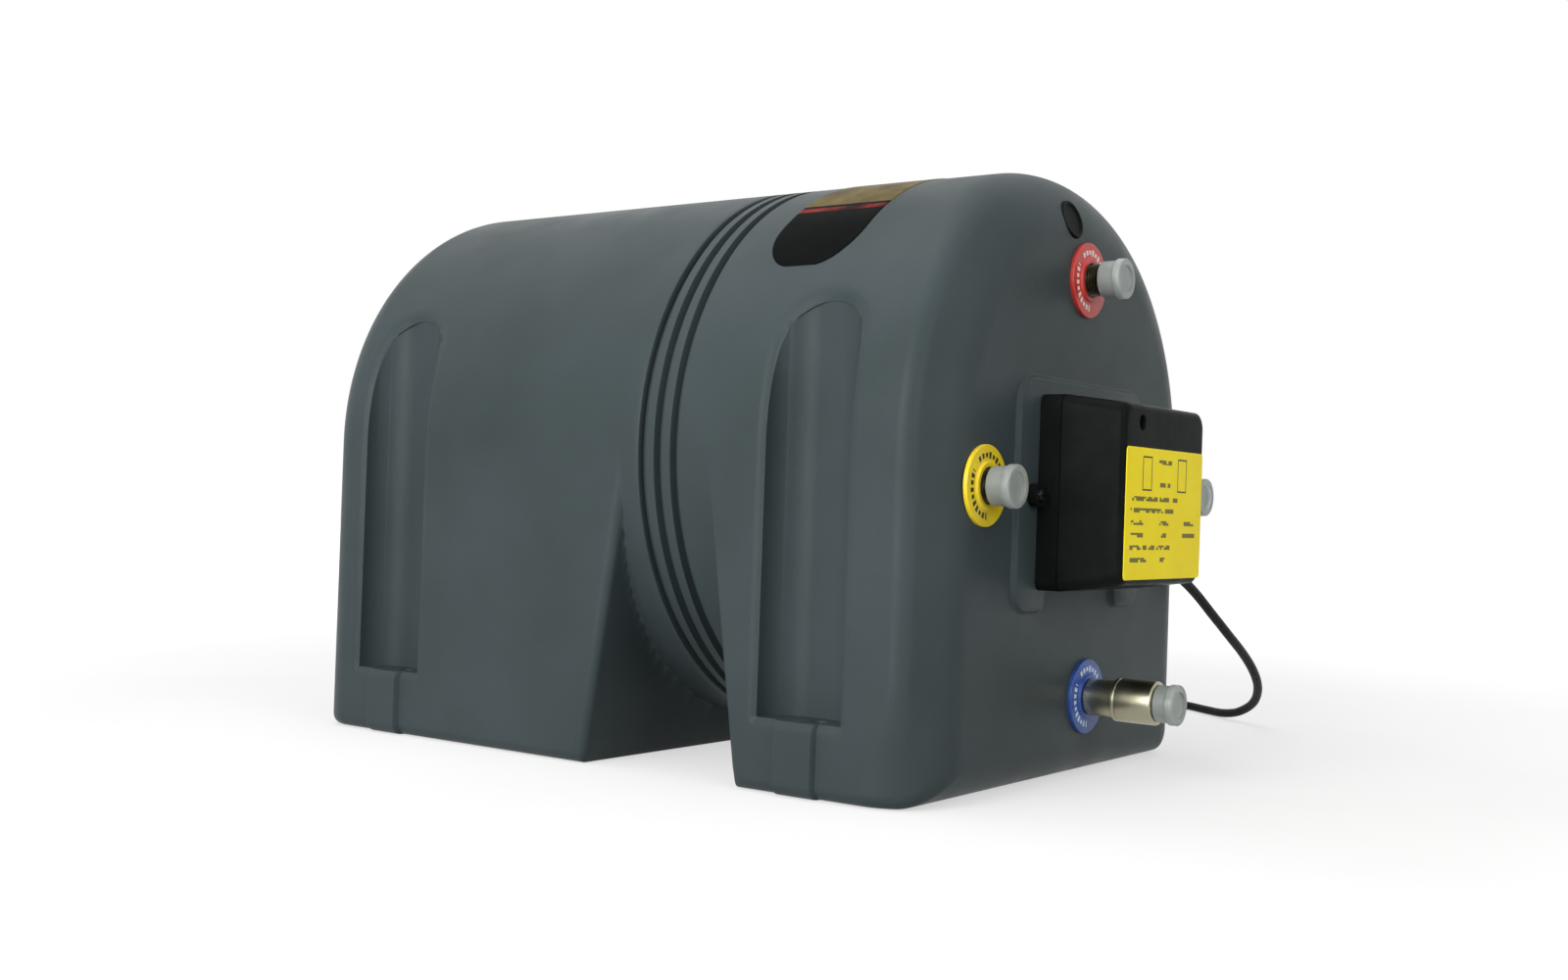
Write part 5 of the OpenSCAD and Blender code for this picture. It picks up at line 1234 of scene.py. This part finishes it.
# Terminal box
COVER_BACK = -272.1
COVER_FRONT = -312.6
COVER_LOW = 123.0
COVER_HIGH = 243.0
COVER_MIDDLE = 181.0
TAPER_SIDE = 3.0  # what the sides, the lower and the upper face lose from back to front
TAPER_LOW = 6.0
TAPER_HIGH = 5.0
COVER_WALL = 2.5
COVER_EDGE = 4.0  # round of the front edge
COVER_CORNER = 6.5  # round of the corners, and what it gains to the front
CORNER_GAIN = 2.0
INNER_CORNER = 4.0
SCREW_SPOT = (-36.0, 227.0)
SCREW_SIDES = 48
WELL_R = 4.4
WELL_LIP = 0.5  # radius that its lip adds
WELL_FLOOR = COVER_FRONT + 5.1
WELL_AHEAD = COVER_FRONT - 10.4  # how far it is cut free in front
CUP_R = 8.8
CUP_BORE = 4.45
CUP_HOLE = 2.05  # for the screw
CUP_FRONT = COVER_FRONT + 1.6
CUP_FLOOR = COVER_FRONT + 6.0
CUP_BACK = COVER_FRONT + 8.5


def cover_ring(y, inset, corner):
    """Outline of the cover at place y: a rounded rectangle that tapers evenly to the front."""
    t = (COVER_BACK - y) / (COVER_BACK - COVER_FRONT)
    side = BOX_X - TAPER_SIDE * t - inset
    low = COVER_LOW + TAPER_LOW * t + inset
    high = COVER_HIGH - TAPER_HIGH * t - inset
    return upright(soften([(-side, low), (side, low), (side, high), (-side, high)], corner, True, 10), y)


def shrunk(ring, shares):
    """Rings in even scale from a ring to the middle of its plane."""
    middle = np.array([0.0, ring[0, 1], COVER_MIDDLE])
    return [middle + (ring - middle) * (share, 1, share) for share in shares]


def cover_mesh():
    """Cover: its outline carried from the rim to the front, round the front edge by a quarter circle and to
    the middle, then the same inside. The screw's well is cut in, and the cup round it is added behind."""
    outer = [cover_ring(COVER_BACK, COVER_WALL, INNER_CORNER),
             cover_ring(COVER_BACK, 0.6, COVER_CORNER - 0.5),
             cover_ring(COVER_BACK - 0.5, 0.0, COVER_CORNER)]
    for y in np.linspace(COVER_BACK - 2, COVER_FRONT + COVER_EDGE, 8):
        gain = CORNER_GAIN * (COVER_BACK - y) / (COVER_BACK - COVER_FRONT)
        outer.append(cover_ring(y, 0.0, COVER_CORNER + gain))
    for turn in np.radians(np.linspace(12, 90, 7)):
        back = COVER_EDGE * (1 - math.sin(turn))
        inset = COVER_EDGE * (1 - math.cos(turn))
        outer.append(cover_ring(COVER_FRONT + back, inset, COVER_CORNER + CORNER_GAIN))
    outer += shrunk(outer[-1], (0.9, 0.5, 0.0))
    inside = np.linspace(COVER_BACK, COVER_FRONT + COVER_WALL, 6)
    inner = [cover_ring(y, COVER_WALL, INNER_CORNER) for y in inside]
    inner += shrunk(inner[-1], (0.5, 0.0))
    mesh = mesh_of("cover_skin", [grid(np.stack(outer[::-1] + inner), True)])
    well = [(WELL_AHEAD, 0.0), (WELL_AHEAD, WELL_R + WELL_LIP + 0.2), (COVER_FRONT + 0.1, WELL_R + WELL_LIP),
            (COVER_FRONT + 0.9, WELL_R), (WELL_FLOOR, WELL_R), (WELL_FLOOR, 0.0)]
    cup = [(CUP_FRONT, CUP_BORE), (CUP_FLOOR, CUP_BORE), (CUP_FLOOR, CUP_HOLE), (CUP_BACK, CUP_HOLE),
           (CUP_BACK, CUP_R), (CUP_FRONT, CUP_R)]
    mesh = cut(mesh, [lathe(well, SCREW_SPOT, SCREW_SIDES)])
    return joined(mesh, [lathe(loop(cup), SCREW_SPOT, SCREW_SIDES)])


# Label on the cover
LABEL_HALF = 58.0
LABEL_LOW = 132.0
LABEL_HIGH = 212.0
LABEL_ROUND = 2.5
LABEL_STEPS = ((0.05, 0.0), (0.35, 0.05), (0.52, 0.3), (0.56, 0.9))  # place in front of the cover, and inset


def label_part():
    """Label: a film with rounded corners, stepped in over its slightly turned edge."""
    rings = []
    for ahead, inset in LABEL_STEPS:
        side, low, high = LABEL_HALF - inset, LABEL_LOW + inset, LABEL_HIGH - inset
        ring = soften([(-side, low), (side, low), (side, high), (-side, high)], LABEL_ROUND, True)
        rings.append(upright(ring, COVER_FRONT - ahead))
    return capped(np.stack(rings))


piece("cover_skin", cover_mesh(), box_plastic, "box_cover", "cover")
piece("label_film", [label_part()], label_film, "label_plate", "cover")

# Coolant coil
TANK_Z = 185.0
COIL_TUBE_R = 9.0
COIL_R = 104.0
COIL_INNER_R = 66.0  # of the run back inside the turns
COIL_START = -144.0
COIL_LENGTH = 230.0
COIL_END = COIL_START + COIL_LENGTH + 30.0
COIL_TURNS = 5
COIL_STEP = 3.0  # degrees
COIL_FIRST = 72.0  # degrees of the first turn that the way in takes up
COIL_CROSS = PIPE_BACK + 28.8  # where both ends cross over to their ports
PORT_R = 126.0
COIL_SIDES = 20


def about(radius, angle, y):
    """Points at a radius and an angle in degrees about the tank's axis."""
    turn = np.radians(angle)
    return np.stack(np.broadcast_arrays(radius * np.cos(turn), y, TANK_Z + radius * np.sin(turn)), -1)


def coil_route():
    """Coolant tube: in at the left port, five even turns round the tank's axis, back inside them to the right
    port. The turns are a helix, and the ways in and out go through listed points."""
    way_in = through([about(PORT_R, 180, PIPE_BACK), about(PORT_R, 180, PIPE_BACK + 18),
                      about(122, 183, COIL_CROSS), about(107, 172, COIL_START - 5)], 3)
    turned = np.arange(COIL_FIRST, COIL_TURNS * 360 + COIL_STEP / 2, COIL_STEP)
    turns = about(COIL_R, 180 + turned, COIL_START + COIL_LENGTH * turned / (COIL_TURNS * 360))
    join = through([way_in[-1], about(COIL_R, 188, COIL_START + 1.5), turns[0]], 6)[1:-1]
    way_out = through([
        turns[-1], about(102, 192, COIL_START + COIL_LENGTH + 9), about(88, 206, COIL_END - 8),
        about(75, 224, COIL_END), about(COIL_INNER_R, 248, COIL_END - 12),
        about(COIL_INNER_R, 270, COIL_END - 44), about(COIL_INNER_R, 288, COIL_END - 90),
        about(COIL_INNER_R, 304, COIL_END - 130), about(COIL_INNER_R, 324, COIL_END - 180),
        about(COIL_INNER_R, 340, COIL_CROSS + 50),
        about(70, 350, COIL_CROSS + 22), about(88, 356, COIL_CROSS + 3), about(108, 359, COIL_CROSS),
        about(124, 360, PIPE_BACK + 18), about(PORT_R, 360, PIPE_BACK)], 8)
    return np.vstack([way_in, join, turns, way_out[1:]])


# Spring of the check valve
SPRING_R = 4.2
SPRING_WIRE_R = 0.5
SPRING_FRONT = -298.3
SPRING_BACK = -282.4
SPRING_TURNS = 5
SPRING_STEPS = 40
WIRE_SIDES = 10  # of the spring's wire and of the leads


def spring_route():
    """Valve spring: a helix of five turns between poppet and guide."""
    turn = np.linspace(0, SPRING_TURNS, SPRING_TURNS * SPRING_STEPS + 1)
    x = COLD[0] + SPRING_R * np.cos(CIRCLE * turn)
    y = SPRING_FRONT + (SPRING_BACK - SPRING_FRONT) * turn / SPRING_TURNS
    return np.stack([x, y, COLD[1] + SPRING_R * np.sin(CIRCLE * turn)], -1)


# Wires in the terminal box
WIRE_R = 1.2
WIRES = [
    [[45.5, -272.5, 159.0], [40.0, -276.6, 160.0], [34.0, -282.6, 164.0], [26.0, -288.0, 170.0],
     [20.0, -290.0, 173.0], [16.0, -286.6, 174.0]],
    [[45.5, -272.5, 175.0], [41.0, -277.6, 178.0], [36.0, -283.6, 184.0], [28.0, -283.75, 197.0],
     [22.0, -284.75, 199.0], [19.4, -284.75, 199.0]],
    [[-19.4, -284.75, 199.0], [-24.0, -284.75, 196.0], [-25.0, -285.75, 186.0], [-22.0, -290.0, 178.0],
     [-17.0, -289.0, 175.0], [-16.0, -286.6, 174.0]]]

piece("coolant_coil", [tube(coil_route(), COIL_TUBE_R, COIL_SIDES)], tank_steel, "engine_coil")
spring = piece("valve_coil", [tube(spring_route(), SPRING_WIRE_R, WIRE_SIDES)], bolt_zinc, "valve_spring")
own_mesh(spring)
piece("box_wires", [tube(through(points, 8), WIRE_R, WIRE_SIDES) for points in WIRES], wire_plastic,
      "box_leads")

# Solids that keep their shape
KEPT = (
    (casing_foam, ["insulation"]),
    (tank_steel, ["tank_barrel", "tank_front_dome", "tank_rear_dome", "element_boss", "hot_pickup",
                  "cold_spreader"]),
    (gasket_rubber, ["flange_gasket"]),
    (flange_brass, ["element_flange", "thermostat_pocket", "terminal_screws"]),
    (bolt_zinc, ["flange_bolts"]),
    (screw_black, ["lug_screws", "cover_screw"]),
    (element_sheath, ["heating_element"]),
    (anode_metal, ["anode"]),
    (control_plastic, ["thermostat", "thermostat_dial", "terminal_block", "valve_guide", "valve_poppet"]),
    (button_plastic, ["reset_button"]),
    (box_plastic, ["box_tray"]))
for mat, nodes in KEPT:
    for node in nodes:
        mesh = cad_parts[node].data
        mesh.materials.clear()
        mesh.materials.append(mat)

# Floor, light and background, with places and widths in metres
FLOOR_Z = -0.3  # millimetres, as the next one
FLOOR_HALF = 6000.0
GLOW_NEAR = (0.5, 0.56)  # distance from the object's middle, and strength of the glow there
GLOW_FAR = (2.2, 1.0)
SKY_LOW = (0.0, 0.28)  # height on the sky, and strength of its light there
SKY_HIGH = (0.9, 0.52)
LAMP_AIM = (0.0, 0.0, 0.2)
LAMPS = (  # name, place, width of the disc and watts
    ("top", (-0.6, 0.4, 2.2), 2.2, 19.0),
    ("left", (-2.3, -0.15, 0.75), 1.6, 52.0),
    ("front", (-0.6, -2.2, 0.9), 1.6, 15.0))


def seen_directly(tree):
    """1 for rays that show a surface to the camera, also by reflection or through a clear piece."""
    path = add(tree, "LightPath", {}).outputs
    shown = add(tree, "Math", {0: path["Is Camera Ray"], 1: path["Is Glossy Ray"]}, operation="MAXIMUM")
    return add(tree, "Math", {0: shown, 1: path["Is Transmission Ray"]}, operation="MAXIMUM")


def floor_finish():
    """Paper backdrop: matt pale grey. What is seen of it also glows, more so far from the object, so that it
    meets the white background and keeps the object's shadow."""
    mat = finish("backdrop_paper", ("a6a6a6", "acacac"), patch=333.0, rough=(0.85, 0.95),
                 grain=5.0, depth=0.02,
                 sockets={"Specular IOR Level": 0.0, "Emission Color": colour("ffffff")})
    tree, shader, where = parts_of(mat)[:3]
    far = add(tree, "VectorMath", {0: where}, operation="LENGTH").outputs["Value"]
    glow = add(tree, "MapRange", {"Value": far, "From Min": GLOW_NEAR[0], "From Max": GLOW_FAR[0],
                                  "To Min": GLOW_NEAR[1], "To Max": GLOW_FAR[1]})
    seen = add(tree, "Math", {0: seen_directly(tree), 1: glow}, operation="MULTIPLY")
    tree.links.new(seen.outputs[0], shader.inputs["Emission Strength"])
    return mat


def lay_floor():
    """Flat grid under the object, a hair below its feet."""
    side = np.linspace(-FLOOR_HALF, FLOOR_HALF, 5)
    x, y = np.meshgrid(side, side)
    mesh = mesh_of("floor", [grid(np.stack([x, y, np.full_like(x, FLOOR_Z)], -1))])
    mesh.materials.append(floor_finish())
    floor = bpy.data.objects.new("floor", mesh)
    scene.collection.objects.link(floor)


def light_sky():
    """Background: white where it is seen, and a soft light that grows with height for all else."""
    world = bpy.data.worlds.new("studio")
    world.use_nodes = True
    scene.world = world
    tree = world.node_tree
    tree.nodes.clear()
    height = add(tree, "SeparateXYZ", {0: add(tree, "TexCoord", {}).outputs["Generated"]}).outputs["Z"]
    strength = add(tree, "MapRange", {"Value": height, "From Min": SKY_LOW[0], "From Max": SKY_HIGH[0],
                                      "To Min": SKY_LOW[1], "To Max": SKY_HIGH[1]})
    lit = add(tree, "Background", {"Color": colour("ffffff"), "Strength": strength})
    white = add(tree, "Background", {"Color": colour("ffffff"), "Strength": 1.0})
    choice = add(tree, "MixShader", {0: seen_directly(tree), 1: lit, 2: white})
    add(tree, "OutputWorld", {"Surface": choice})


def hang_lamps():
    """Soft round lamps from above, the left and the front, each turned to the middle of the object."""
    for name, spot, width, watts in LAMPS:
        data = bpy.data.lights.new(name, "AREA")
        data.shape = "DISK"
        data.size = width
        data.energy = watts
        lamp = bpy.data.objects.new(name, data)
        turn = (Vector(LAMP_AIM) - Vector(spot)).to_track_quat("-Z", "Y")
        lamp.matrix_world = Matrix.Translation(spot) @ turn.to_matrix().to_4x4()
        scene.collection.objects.link(lamp)


lay_floor()
light_sky()
hang_lamps()
